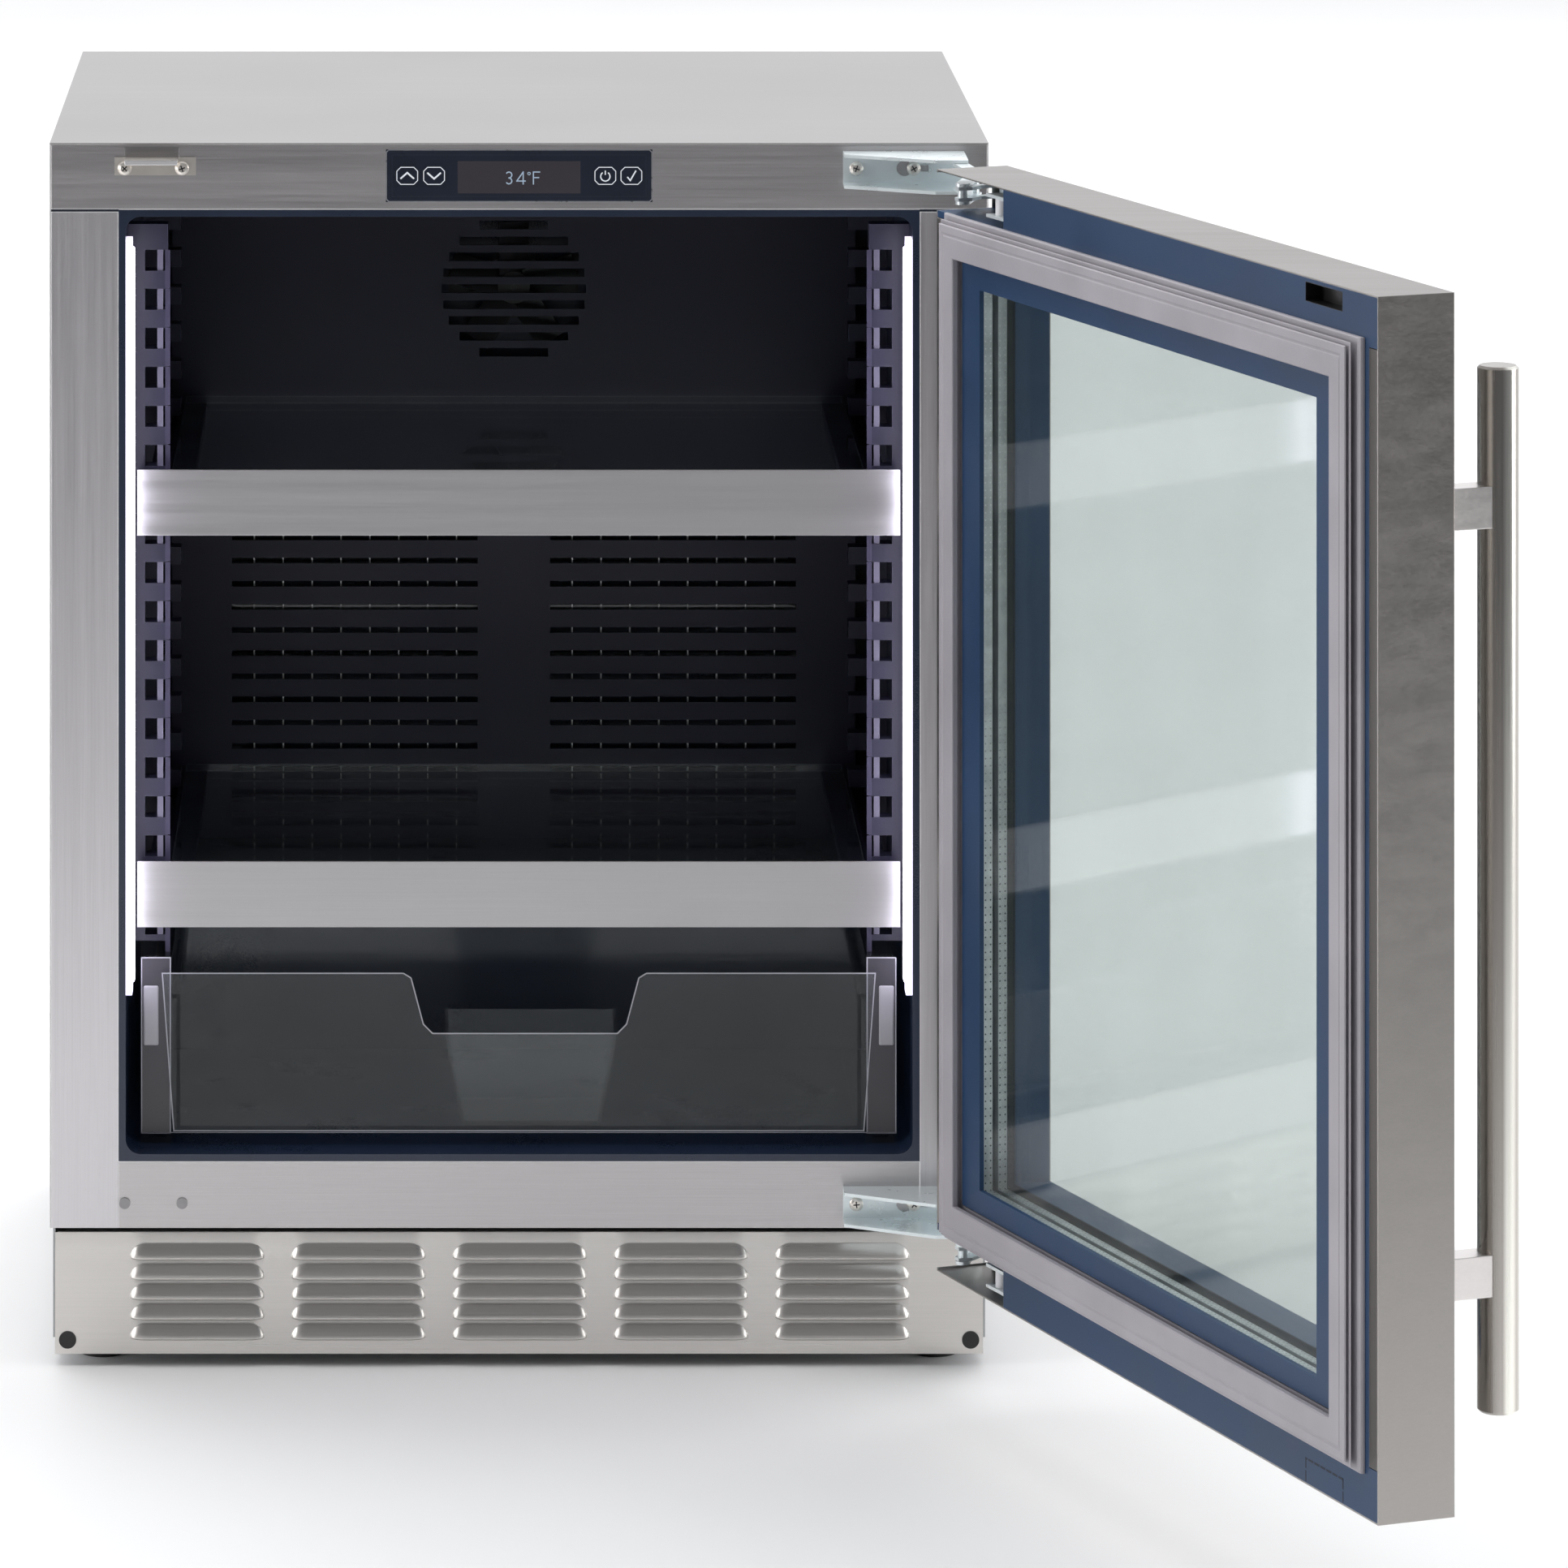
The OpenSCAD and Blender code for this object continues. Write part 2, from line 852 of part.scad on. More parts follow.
module compressor() {
    color("#1c1d1f")
    union() {
        translate([comp_x, comp_y, tray_z + tray_t])
            rotate_extrude($fn = 64)
                polygon([
                    [0, 0], [40, 0], [52, 12], [64, 26], [66, 34], [66, 62], [69, 64], [69, 70], [66, 72],
                    [64, 100], [56, 122], [40, 138], [20, 146], [0, 148]
                ]);
        block([comp_x - 80, comp_y - 62, tray_z + tray_t], [comp_x + 80, comp_y + 62, tray_z + tray_t + 4]);
        rod_z(comp_x + 30, comp_y, 5, tray_z + 100, 175);
        rod_z(comp_x - 30, comp_y, 6, tray_z + 100, 175);
        block([comp_x + 50, comp_y - 22, 60], [comp_x + 84, comp_y + 22, 110]);
    }
}

module condenser_coil() {
    color("#9fa1a3")
    union() {
        tube_bank(-20, 275, 372, 40, 28, 6, 4);
        fin_stack(-5, 260, 14, 354, 390, 26, 196, 372, 40, 28, 6, 4);
    }
}

module fan_shroud() {
    color("#6f7173")
    difference() {
        union() {
            block([-12, 400, tray_z + tray_t], [285, 402, 200]);
            rod_y(cond_fan_x, cond_fan_z, cond_fan_r + 14, 402, cond_fan_y + 26);
        }
        rod_y(cond_fan_x, cond_fan_z, cond_fan_r + 12, 399, cond_fan_y + 30);
    }
}

module filter_drier() {
    color("#b87333")
    translate([-62, 470, 60])
        rotate_extrude()
            polygon([[0, 0], [4, 0], [4, 10], [11, 20], [11, 90], [4, 100], [4, 110], [0, 110]]);
}

// a quarter bend of tube in the plane of two axes, radius 12
module bend(r) {
    rotate_extrude(angle = 90)
        translate([12, 0])
            circle(r = r);
}

module refrigerant_lines() {
    color("#b87333")
    union() {
        // discharge line from the compressor towards the condenser
        rod_z(comp_x + 30, comp_y, 4, 175, 180);
        translate([comp_x + 42, comp_y, 180])
            rotate([90, -90, 180])
                mirror([0, 1, 0])
                    bend(4);
        rod_x(comp_y, 192, 4, comp_x + 42, comp_x + 75);
        // suction line from the compressor up to the top of the bay
        rod_z(comp_x - 30, comp_y, 4, 175, bay_z - sheet);
        // liquid line above and below the drier
        rod_z(-62, 470, 3, 170, bay_z - sheet);
        rod_z(-62, 470, 3, 30, 60);
    }
}

module power_cord() {
    y0 = cab_d + 20;
    color("#222325")
    union() {
        rod_y(262, 150, 4, cab_d - 20, y0);
        rod_y(262, 150, 8, cab_d, cab_d + 4);
        translate([262, y0, 138])
            rotate([90, 0, 90])
                bend(4);
        rod_z(262, y0 + 12, 4, 60, 138);
        block([250, y0 + 2, 20], [274, y0 + 22, 60]);
        for (x = [256, 268])
            block([x - 3, y0 + 11.2, 4], [x + 3, y0 + 12.8, 20]);
    }
}

// ---- hinges ----

// everything below is drawn for the upper hinge with z measured from its middle
module at_hinges() {
    both_ends()
        translate([0, 0, hinge_z[0]])
            children();
}

module above_and_below() {
    children();
    mirror([0, 0, 1])
        children();
}

module hinge_bases() {
    color("#c3c8c6")
    at_hinges()
        difference() {
            union() {
                block([hinge_x0, -hinge_t, -hinge_half_h], [base_pivot.x + 5, 0, hinge_half_h]);
                above_and_below()
                    translate([0, 0, level_1])
                        linear_extrude(hinge_t)
                            polygon([
                                [hinge_x0, 0], [hinge_x0, -18], [base_pivot.x - 16, base_pivot.y - 5],
                                [base_pivot.x + 5, base_pivot.y - 5], [base_pivot.x + 5, 0]
                            ]);
            }
            rod_z(base_pivot.x, base_pivot.y, pin_r + running_gap, -20, 20);
            rod_y(screw_x[0], 0, screw_r + running_gap, -5, eps);
            rod_y(248.5, 0, 5.1, -5, eps);
            block([248.5, -5, -screw_r - 0.1], [264, eps, screw_r + 0.1]);
        }
}

// a flat bar with round ends between two pivots a distance l apart, along +X
module bar(l, z0, t) {
    translate([0, 0, z0])
        linear_extrude(t) {
            circle(r = arm_r);
            translate([l, 0])
                circle(r = arm_r);
            translate([0, -arm_r])
                square([l, 2 * arm_r]);
        }
}

module hinge_outer_arms() {
    z0 = level_1 - arm_gap - arm_t;
    color("#b9bfbe")
    at_hinges()
        translate([base_pivot.x, base_pivot.y, 0])
            rotate([0, 0, heading(elbow_open - base_pivot)]) {
                above_and_below()
                    bar(arm_l, z0, arm_t);
                above_and_below()
                    rod_z(0, 0, pin_r, z0, hinge_half_h);
                rod_z(arm_l, 0, pin_r, -z0 - arm_t, z0 + arm_t);
            }
}

module hinge_inner_arms() {
    z0 = level_1 - 2 * (arm_gap + arm_t);
    color("#aab0b0")
    at_hinges()
        translate([elbow_open.x, elbow_open.y, 0])
            rotate([0, 0, heading(door_pivot_open - elbow_open)])
                difference() {
                    union() {
                        above_and_below()
                            bar(arm_l, z0, arm_t);
                        block([10, -0.75, -z0], [arm_l - 12, 0.75, z0]);
                    }
                    rod_z(0, 0, pin_r + running_gap, -20, 20);
                    rod_z(arm_l, 0, pin_r + running_gap, -20, 20);
                }
}

module door_hinge_brackets() {
    z_ear = level_1 - 3 * (arm_gap + arm_t);
    z_pin = z_ear + arm_gap + 2 * arm_t;
    web_y = door_in_y - 41;
    p = door_pivot_shut;
    color("#c3c8c6")
    on_open_door()
        at_hinges()
            union() {
                block([p.x - 71, door_skin_in_y, -level_1 + 0.2], [p.x + 12, web_y, level_1 - 0.2]);
                above_and_below()
                    translate([0, 0, z_ear])
                        linear_extrude(arm_t)
                            polygon([
                                [p.x - 3, p.y + 4], [p.x + 3, p.y + 4], [p.x + 5.5, p.y], [p.x + 11, web_y - eps],
                                [p.x + 3, web_y - eps], [p.x + 2, p.y - 14], [p.x - 4, p.y - 5]
                            ]);
                rod_z(p.x, p.y, pin_r, -z_pin, z_pin);
            }
}

// ---- door, drawn closed and placed at the open angle ----

module hinge_notches(y0, y1, x1) {
    both_ends()
        block([half_w - notch_l, y0, door_z1 - sheet - notch_h], [x1, y1, door_z1 - sheet]);
}

module catch_pocket(y0, y1, inset) {
    block([-259 - tub_t + inset, y0, 773.5 - tub_t + inset], [-212 + tub_t - inset, y1, 785 + tub_t - inset]);
}

module door_skin() {
    color("#aba69f")
    on_open_door()
        difference() {
            block([-door_x, door_out_y, door_z0], [door_x, door_in_y, door_z1]);
            block(
                [-door_x + sheet, door_skin_in_y, door_z0 + sheet],
                [door_x - sheet, door_in_y - sheet, door_z1 - sheet]
            );
            block([-window_x, door_out_y - eps, window_z0], [window_x, door_in_y, window_z1]);
            block(
                [-door_x + return_w, door_in_y - 2, door_z0 + 30],
                [door_x - return_w, door_in_y + eps, door_z1 - 30]
            );
            block(
                [-door_x + sheet, door_in_y - 2, door_z1 - 30.5],
                [door_x - sheet, door_in_y + eps, door_z1 - sheet]
            );
            block(
                [-door_x + sheet, door_in_y - 2, door_z0 + sheet],
                [door_x - sheet, door_in_y + eps, door_z0 + 30.5]
            );
            both_ends()
                block(
                    [door_x - 2, door_in_y - 38, hinge_z[0] - 12],
                    [door_x + eps, door_in_y + eps, hinge_z[0] + 12]
                );
        }
}

// a frame around the door's window, each side given by how far it lies outside the window's edge
module window_ring(outer, inner, y0, y1) {
    frame_ring(
        window_x + outer, window_z0 - outer, window_z1 + outer,
        window_x + inner, window_z0 - inner, window_z1 + inner, y0, y1
    );
}

// walls of the liner that close the foam off at each hinge notch
module notch_walls() {
    notch_x = half_w - notch_l;
    notch_z = door_z1 - sheet - notch_h;
    both_ends()
        union() {
            block([notch_x - tub_t, door_skin_in_y, notch_z - tub_t], [door_x - sheet, flange_y, notch_z]);
            block([notch_x - tub_t, door_skin_in_y, notch_z - tub_t], [notch_x, flange_y, door_z1 - sheet]);
        }
}

// the lip that holds the glass unit, standing proud inside the gasket
module glazing_lip() {
    lip_out_x = gasket_x - gasket_w - 1.5;
    lip_out_dz = gasket_dz - gasket_w - 1.5;
    frame_ring(
        lip_out_x, mid_z - lip_out_dz, mid_z + lip_out_dz,
        window_x - lip_cover, window_z0, window_z1, door_in_y, lip_y
    );
}

module door_liner() {
    color("#26395f")
    on_open_door()
        difference() {
            union() {
                frame_ring(
                    door_x - return_w, door_z0 + sheet, door_z1 - sheet,
                    window_x + pocket_cover, window_z0 - pocket_cover, window_z1 + pocket_cover,
                    flange_y, door_in_y
                );
                both_ends()
                    block(
                        [-door_x + sheet, flange_y, door_z1 - 30],
                        [door_x - sheet, door_in_y, door_z1 - sheet]
                    );
                glazing_lip();
                window_ring(pocket_cover + pocket_wall, pocket_cover, door_skin_in_y, flange_y);
                window_ring(pocket_cover + pocket_wall / 2, 0, door_skin_in_y, unit_out_y);
                notch_walls();
                catch_pocket(flange_y - 8, flange_y, 0);
            }
            hinge_notches(door_skin_in_y - eps, door_in_y + eps, door_x);
            catch_pocket(flange_y - 8 + tub_t, door_in_y + eps, tub_t);
        }
}

module door_insulation() {
    hole = pocket_cover + pocket_wall;
    color("#e5d9a8")
    on_open_door()
        difference() {
            frame_ring(
                door_x - sheet, door_z0 + sheet, door_z1 - sheet,
                window_x + hole, window_z0 - hole, window_z1 + hole, door_skin_in_y, flange_y
            );
            hinge_notches(door_skin_in_y - eps, flange_y + eps, door_x);
            notch_walls();
            catch_pocket(flange_y - 8, flange_y + eps, 0);
        }
}

module glass_panes() {
    color("#cfe0dc", 0.35)
    on_open_door()
        for (k = [0:2])
            block(
                [-window_x - unit_cover, door_in_y - k * glass_pitch - glass_t, window_z0 - unit_cover],
                [window_x + unit_cover, door_in_y - k * glass_pitch, window_z1 + unit_cover]
            );
}

module glass_spacers() {
    color("#c9cccd")
    on_open_door()
        for (k = [1:2])
            window_ring(
                spacer_cover + spacer_w, spacer_cover,
                door_in_y - k * glass_pitch, door_in_y - k * glass_pitch + spacer_t
            );
}

// one layer of the gasket's bellows, set in from its outer edge
module gasket_layer(inset, y0, y1) {
    inner_x = gasket_x - gasket_w;
    inner_dz = gasket_dz - gasket_w;
    frame_ring(
        gasket_x - inset, mid_z - gasket_dz + inset, mid_z + gasket_dz - inset,
        inner_x, mid_z - inner_dz, mid_z + inner_dz, y0, y1
    );
}

module gasket() {
    color("#b1adb6")
    on_open_door()
        union() {
            gasket_layer(0, door_in_y, -7.6);
            gasket_layer(4, -7.6, -6.4);
            gasket_layer(1, -6.4, -4.6);
            gasket_layer(4, -4.6, -3.6);
            gasket_layer(1.5, -3.6, -0.3);
        }
}

module handle_tube() {
    color("#b9b4ab")
    on_open_door()
        translate([handle_x, handle_y, mid_z - handle_l / 2])
            rotate_extrude($fn = 64)
                polygon([
                    [0, 0], [handle_d / 2 - 1.5, 0], [handle_d / 2, 1.5], [handle_d / 2, handle_l - 1.5],
                    [handle_d / 2 - 1.5, handle_l], [0, handle_l]
                ]);
}

module handle_posts() {
    color("#b9b4ab")
    on_open_door()
        both_ends()
            difference() {
                block(
                    [handle_x - post_w / 2, handle_y, mid_z + post_dz - post_h / 2],
                    [handle_x + post_w / 2, door_out_y, mid_z + post_dz + post_h / 2]
                );
                translate([handle_x, handle_y, 0])
                    cylinder(d = handle_d, h = cab_h, $fn = 64);
            }
}

// ---- node list ----

outer_case();
top_fascia();
face_stiles();
bottom_rail();
inner_liner();
cabinet_insulation();
back_panel();
underside_sheet();
base_tray();
kick_plate();
kick_plate_plugs();
front_left_foot();
front_right_foot();
rear_left_foot();
rear_right_foot();
control_bezel();
display_window();
control_board();
up_key();
down_key();
power_key();
confirm_key();
catch_bracket();
hole_plugs();
fixing_screws();
led_channels();
led_diffusers();
shelf_posts();
upper_shelf_glass();
upper_shelf_trim();
upper_shelf_runners();
lower_shelf_glass();
lower_shelf_trim();
lower_shelf_runners();
crisper_runners();
crisper_bin();
crisper_cup();
evaporator_cover();
evaporator_coil();
fan_motors();
evaporator_fan();
compressor();
condenser_coil();
fan_shroud();
condenser_fan();
filter_drier();
refrigerant_lines();
power_cord();
hinge_bases();
hinge_outer_arms();
hinge_inner_arms();
door_hinge_brackets();
door_skin();
door_liner();
door_insulation();
glass_panes();
glass_spacers();
gasket();
handle_tube();
handle_posts();
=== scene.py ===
"""Undercounter refrigerator with a glass door: its looks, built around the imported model.

Metres. +X to the right of a person facing the door, +Y to the back, +Z up.
The origin is on the floor, at the middle of the width, in the plane of the cabinet's front face.
"""

import math

import bmesh
import bpy
from mathutils import Matrix, Vector


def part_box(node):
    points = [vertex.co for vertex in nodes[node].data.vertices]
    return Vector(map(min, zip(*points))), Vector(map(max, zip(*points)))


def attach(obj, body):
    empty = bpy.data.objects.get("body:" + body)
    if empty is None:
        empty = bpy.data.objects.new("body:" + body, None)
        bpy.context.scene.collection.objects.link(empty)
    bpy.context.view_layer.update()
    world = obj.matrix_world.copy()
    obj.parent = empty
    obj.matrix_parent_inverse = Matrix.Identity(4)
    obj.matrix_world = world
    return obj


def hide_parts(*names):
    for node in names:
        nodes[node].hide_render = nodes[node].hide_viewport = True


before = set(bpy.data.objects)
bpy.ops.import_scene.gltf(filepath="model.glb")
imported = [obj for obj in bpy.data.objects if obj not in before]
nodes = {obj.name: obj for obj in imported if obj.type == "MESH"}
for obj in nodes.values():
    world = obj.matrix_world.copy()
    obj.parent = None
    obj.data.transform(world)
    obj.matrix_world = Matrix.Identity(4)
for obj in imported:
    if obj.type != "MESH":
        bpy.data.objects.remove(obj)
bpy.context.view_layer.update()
MM = 0.001

# the door is drawn shut and turned open about its pivot; all in millimetres
HALF_W = 303.0
MID_Z = 440.0
DOOR_IN_Y = -10.0
DOOR_ANGLE = math.radians(111)
PIVOT_SHUT = Vector((286.0, -20.0, 0.0))
PIVOT_OPEN = Vector((278.428, -127.287, 0.0))
DOOR_TURN = Matrix.Rotation(DOOR_ANGLE, 4, "Z")


def on_open_door(point):
    return DOOR_TURN @ (Vector(point) - PIVOT_SHUT) + PIVOT_OPEN


# ---------------------------------------------------------------- materials


class Shader:
    """A material under construction: short calls that add and join nodes."""

    def __init__(self, name):
        self.material = bpy.data.materials.new(name)
        self.material.use_nodes = True
        self.tree = self.material.node_tree
        self.tree.nodes.clear()
        self.out = self.add("ShaderNodeOutputMaterial")
        self.coords = self.add("ShaderNodeTexCoord").outputs["Object"]

    def add(self, kind, **values):
        node = self.tree.nodes.new(kind)
        for key, value in values.items():
            setattr(node, key, value)
        return node

    def put(self, socket, value):
        """Joins a socket to another one, or sets it to a plain value."""
        if isinstance(value, bpy.types.NodeSocket):
            self.tree.links.new(value, socket)
        else:
            socket.default_value = value

    def math(self, operation, a, b=0.0, clamp=False):
        node = self.add("ShaderNodeMath", operation=operation, use_clamp=clamp)
        self.put(node.inputs[0], a)
        self.put(node.inputs[1], b)
        return node.outputs[0]

    def mapped(self, scale, turn=0.0, offset=(0, 0, 0)):
        """Object coordinates turned about Z, then stretched."""
        turned = self.add("ShaderNodeMapping")
        self.put(turned.inputs["Vector"], self.coords)
        turned.inputs["Rotation"].default_value = (0, 0, turn)
        turned.inputs["Location"].default_value = offset
        stretched = self.add("ShaderNodeMapping")
        self.put(stretched.inputs["Vector"], turned.outputs[0])
        stretched.inputs["Scale"].default_value = scale
        return stretched.outputs[0]

    def noise(self, scale, vector=None, detail=2.0, rough=0.5, distortion=0.0):
        node = self.add("ShaderNodeTexNoise")
        self.put(node.inputs["Vector"], self.coords if vector is None else vector)
        node.inputs["Scale"].default_value = scale
        node.inputs["Detail"].default_value = detail
        node.inputs["Roughness"].default_value = rough
        node.inputs["Distortion"].default_value = distortion
        return node.outputs["Fac"]

    def span(self, value, low, high, start=0.3, end=0.7):
        """Value between start and end becomes a number between low and high."""
        node = self.add("ShaderNodeMapRange")
        self.put(node.inputs["Value"], value)
        node.inputs["From Min"].default_value = start
        node.inputs["From Max"].default_value = end
        node.inputs["To Min"].default_value = low
        node.inputs["To Max"].default_value = high
        return node.outputs[0]

    def mix(self, factor, a, b, blend="MIX"):
        node = self.add("ShaderNodeMix", data_type="RGBA", blend_type=blend)
        self.put(node.inputs["Factor"], factor)
        self.put(node.inputs["A"], a)
        self.put(node.inputs["B"], b)
        return node.outputs["Result"]

    def bump(self, height, strength, distance=0.0002, normal=None):
        node = self.add("ShaderNodeBump")
        node.inputs["Strength"].default_value = strength
        node.inputs["Distance"].default_value = distance
        self.put(node.inputs["Height"], height)
        if normal is not None:
            self.put(node.inputs["Normal"], normal)
        return node.outputs[0]

    def edges(self, distance=0.0012):
        """1 on outer edges, 0 on flat faces: the mask for painted edge highlights."""
        node = self.add("ShaderNodeBevel", samples=4)
        node.inputs["Radius"].default_value = distance
        geometry = self.add("ShaderNodeNewGeometry")
        dot = self.add("ShaderNodeVectorMath", operation="DOT_PRODUCT")
        self.put(dot.inputs[0], node.outputs[0])
        self.put(dot.inputs[1], geometry.outputs["True Normal"])
        return self.span(dot.outputs["Value"], 1.0, 0.0, 0.80, 0.99)

    def principled(self, **values):
        node = self.add("ShaderNodeBsdfPrincipled")
        for key, value in values.items():
            self.put(node.inputs[key.replace("_", " ")], value)
        self.put(self.out.inputs["Surface"], node.outputs[0])
        return node


def shade(rgb, factor):
    return tuple(min(1.0, c * factor) for c in rgb) + (1.0,)


def brushed(name, rgb, stretch, rough=0.34, contrast=0.10, grain=900.0, painted_bar_light=False):
    """Brushed stainless with a painted highlight on its edges; stretch is small along the grain, and a round
    bar is darker on its left as painted shade, with a painted highlight just right of its middle.
    """
    s = Shader(name)
    fine = s.noise(grain, s.mapped(stretch), detail=3.0, rough=0.7)
    streak = s.noise(grain * 0.12, s.mapped(stretch, offset=(3, 5, 7)), detail=2.0)
    cloud = s.noise(5.0, s.mapped((1, 1, 1), offset=(9, 2, 4)), detail=2.0)
    both = s.math("ADD", s.math("MULTIPLY", fine, 0.55), s.math("MULTIPLY", streak, 0.45))
    colour = s.mix(s.span(both, 0, 1, 0.35, 0.65), shade(rgb, 1 - contrast), shade(rgb, 1 + contrast))
    colour = s.mix(s.span(cloud, 0, 0.5), colour, shade(rgb, 0.97))
    # painted highlight along the outer edges
    colour = s.mix(s.math("MULTIPLY", s.edges(), 0.35), colour, shade(rgb, 1.5))
    # painted shade on the left of a round bar, where it would mirror the door, and a painted highlight just
    # right of its middle, both set by the direction of its surface
    if painted_bar_light:
        facing = s.add("ShaderNodeSeparateXYZ")
        s.put(facing.inputs[0], s.add("ShaderNodeNewGeometry").outputs["Normal"])
        side = facing.outputs["X"]
        colour = s.mix(s.span(side, 1.0, 0.0, -0.7, 0.0), colour, shade(rgb, 0.45))
        painted_glint = s.math("MULTIPLY", s.span(side, 0.0, 1.0, 0.1, 0.3), s.span(side, 1.0, 0.0, 0.55, 0.8))
        colour = s.mix(painted_glint, colour, shade(rgb, 2.1))
    roughness = s.math(
        "ADD", s.span(both, rough - 0.05, rough + 0.07, 0.35, 0.65), s.span(cloud, -0.01, 0.02)
    )
    round_edge = s.add("ShaderNodeBevel", samples=6)
    round_edge.inputs["Radius"].default_value = 0.0009
    s.principled(
        Base_Color=colour, Metallic=1.0, Roughness=roughness,
        Normal=s.bump(both, 0.10, 0.00004, round_edge.outputs[0]),
    )
    return s.material


def moulded(name, rgb, rough=0.35, grain=1400.0, bump=0.12, variation=0.10, coat=0.0, painted_edge_light=0.25, sheen=None):
    """Moulded or painted plastic with a fine texture, soft blotches and lighter edges as a painted highlight.
    """
    s = Shader(name)
    fine = s.noise(grain, detail=2.0)
    cloud = s.noise(14.0, detail=3.0)
    colour = s.mix(s.span(cloud, 0, 1), shade(rgb, 1 - variation), shade(rgb, 1 + variation))
    colour = s.mix(s.math("MULTIPLY", s.edges(), painted_edge_light), colour, shade([c + 0.04 for c in rgb], 1.7))
    s.principled(
        Base_Color=colour,
        Roughness=s.math("ADD", s.span(cloud, rough - 0.04, rough + 0.05), s.span(fine, -0.02, 0.02)),
        Coat_Weight=coat, Coat_Roughness=0.12,
        Normal=s.bump(fine, bump, 0.00005),
    )
    return s.material


def plated(name, rgb, rough=0.22, spangle=160.0, metallic=1.0, mottle=0.10):
    """Zinc or nickel plate: bright, slightly mottled metal with a painted highlight on its edges."""
    s = Shader(name)
    patch = s.noise(spangle, detail=3.0, rough=0.6)
    fine = s.noise(2200.0, detail=1.0)
    colour = s.mix(s.span(patch, 0, 1), shade(rgb, 1 - mottle), shade(rgb, 1 + mottle))
    # painted highlight along the outer edges
    colour = s.mix(s.math("MULTIPLY", s.edges(0.0008), 0.4), colour, shade(rgb, 1.4))
    s.principled(
        Base_Color=colour, Metallic=metallic,
        Roughness=s.span(patch, rough - 0.5 * mottle, rough + mottle),
        Normal=s.bump(fine, 0.08, 0.00004),
    )
    return s.material


def clear(name, tint, haze=0.03, ior=1.45, edge=(0.55, 0.62, 0.64), painted_edge_amount=0.35, rough=0.02, rim=0.0015):
    """Clear sheet: see-through, with mirror reflections, faint smears and brighter cut edges as a painted
    highlight.
    """
    s = Shader(name)
    smear = s.noise(9.0, s.mapped((1, 1, 0.5)), detail=4.0, rough=0.6)
    through = s.add("ShaderNodeBsdfTransparent")
    s.put(through.inputs["Color"], s.mix(s.span(smear, 0, 1), shade(tint, 0.985), shade(tint, 1.0)))
    mirror = s.add("ShaderNodeBsdfGlossy")
    mirror.inputs["Color"].default_value = (1, 1, 1, 1)
    s.put(mirror.inputs["Roughness"], s.span(smear, rough, rough + 0.03))
    dull = s.add("ShaderNodeBsdfDiffuse")
    dull.inputs["Color"].default_value = tuple(edge) + (1,)
    leaving = s.add("ShaderNodeNewGeometry").outputs["Backfacing"]
    fresnel = s.add("ShaderNodeFresnel")
    s.put(fresnel.inputs["IOR"], s.math("ADD", s.math("MULTIPLY", leaving, 1 / ior - ior), ior))
    hazy = s.add("ShaderNodeMixShader")
    # the smears add a little haze, and the edges a painted highlight in the edge colour
    amount = s.math("ADD", s.span(smear, haze * 0.5, haze), s.math("MULTIPLY", s.edges(rim), painted_edge_amount))
    s.put(hazy.inputs[0], amount)
    s.put(hazy.inputs[1], through.outputs[0])
    s.put(hazy.inputs[2], dull.outputs[0])
    whole = s.add("ShaderNodeMixShader")
    s.put(whole.inputs[0], fresnel.outputs[0])
    s.put(whole.inputs[1], hazy.outputs[0])
    s.put(whole.inputs[2], mirror.outputs[0])
    s.put(s.out.inputs["Surface"], whole.outputs[0])
    return s.material


def dotted(name, rgb, pitch=4.66, radius=0.55):
    """Spacer bars of the glass unit: dull aluminium with two rows of small perforations in each, painted dark
    low on the door and bright high up as painted shade and light.
    """
    bar_pitch, bar_middle, row_offset = 10.0 * MM, 7.0 * MM, 1.75 * MM
    s = Shader(name)
    cloud = s.noise(120.0, detail=2.0)
    shift = (PIVOT_SHUT - DOOR_TURN.inverted() @ PIVOT_OPEN) * MM
    split = s.add("ShaderNodeSeparateXYZ")
    s.put(split.inputs[0], s.mapped((1, 1, 1), -DOOR_ANGLE, shift))
    facing = s.add("ShaderNodeSeparateXYZ")
    s.put(facing.inputs[0], s.add("ShaderNodeNewGeometry").outputs["Normal"])
    flat = s.math("GREATER_THAN", s.math("ABSOLUTE", facing.outputs["Z"]), 0.5)
    along = s.math(
        "ADD", s.math("MULTIPLY", split.outputs["X"], flat),
        s.math("MULTIPLY", split.outputs["Z"], s.math("SUBTRACT", 1.0, flat)),
    )
    along = s.math("SUBTRACT", s.math("FLOORED_MODULO", along, pitch * MM), pitch * MM / 2)
    depth = s.math("FLOORED_MODULO", s.math("SUBTRACT", DOOR_IN_Y * MM, split.outputs["Y"]), bar_pitch)
    across = s.math("SUBTRACT", s.math("ABSOLUTE", s.math("SUBTRACT", depth, bar_middle)), row_offset)
    away = s.math(
        "SQRT", s.math("ADD", s.math("MULTIPLY", along, along), s.math("MULTIPLY", across, across))
    )
    dot = s.span(away, 1.0, 0.0, radius * MM * 0.8, radius * MM * 1.2)
    # painted shade and light: the perforations are dark in the door's lower half and bright in its upper half
    height = s.span(split.outputs["Z"], 0.0, 1.0, 0.35, 0.55)
    plain = s.mix(s.span(cloud, 0, 1), shade(rgb, 0.85), shade(rgb, 1.1))
    mark = s.mix(height, (0.10, 0.11, 0.12, 1), (0.95, 0.97, 0.97, 1))
    s.principled(
        Base_Color=s.mix(dot, plain, mark), Metallic=s.math("MULTIPLY", 0.6, s.math("SUBTRACT", 1.0, dot)),
        Roughness=s.span(cloud, 0.36, 0.5),
    )
    return s.material


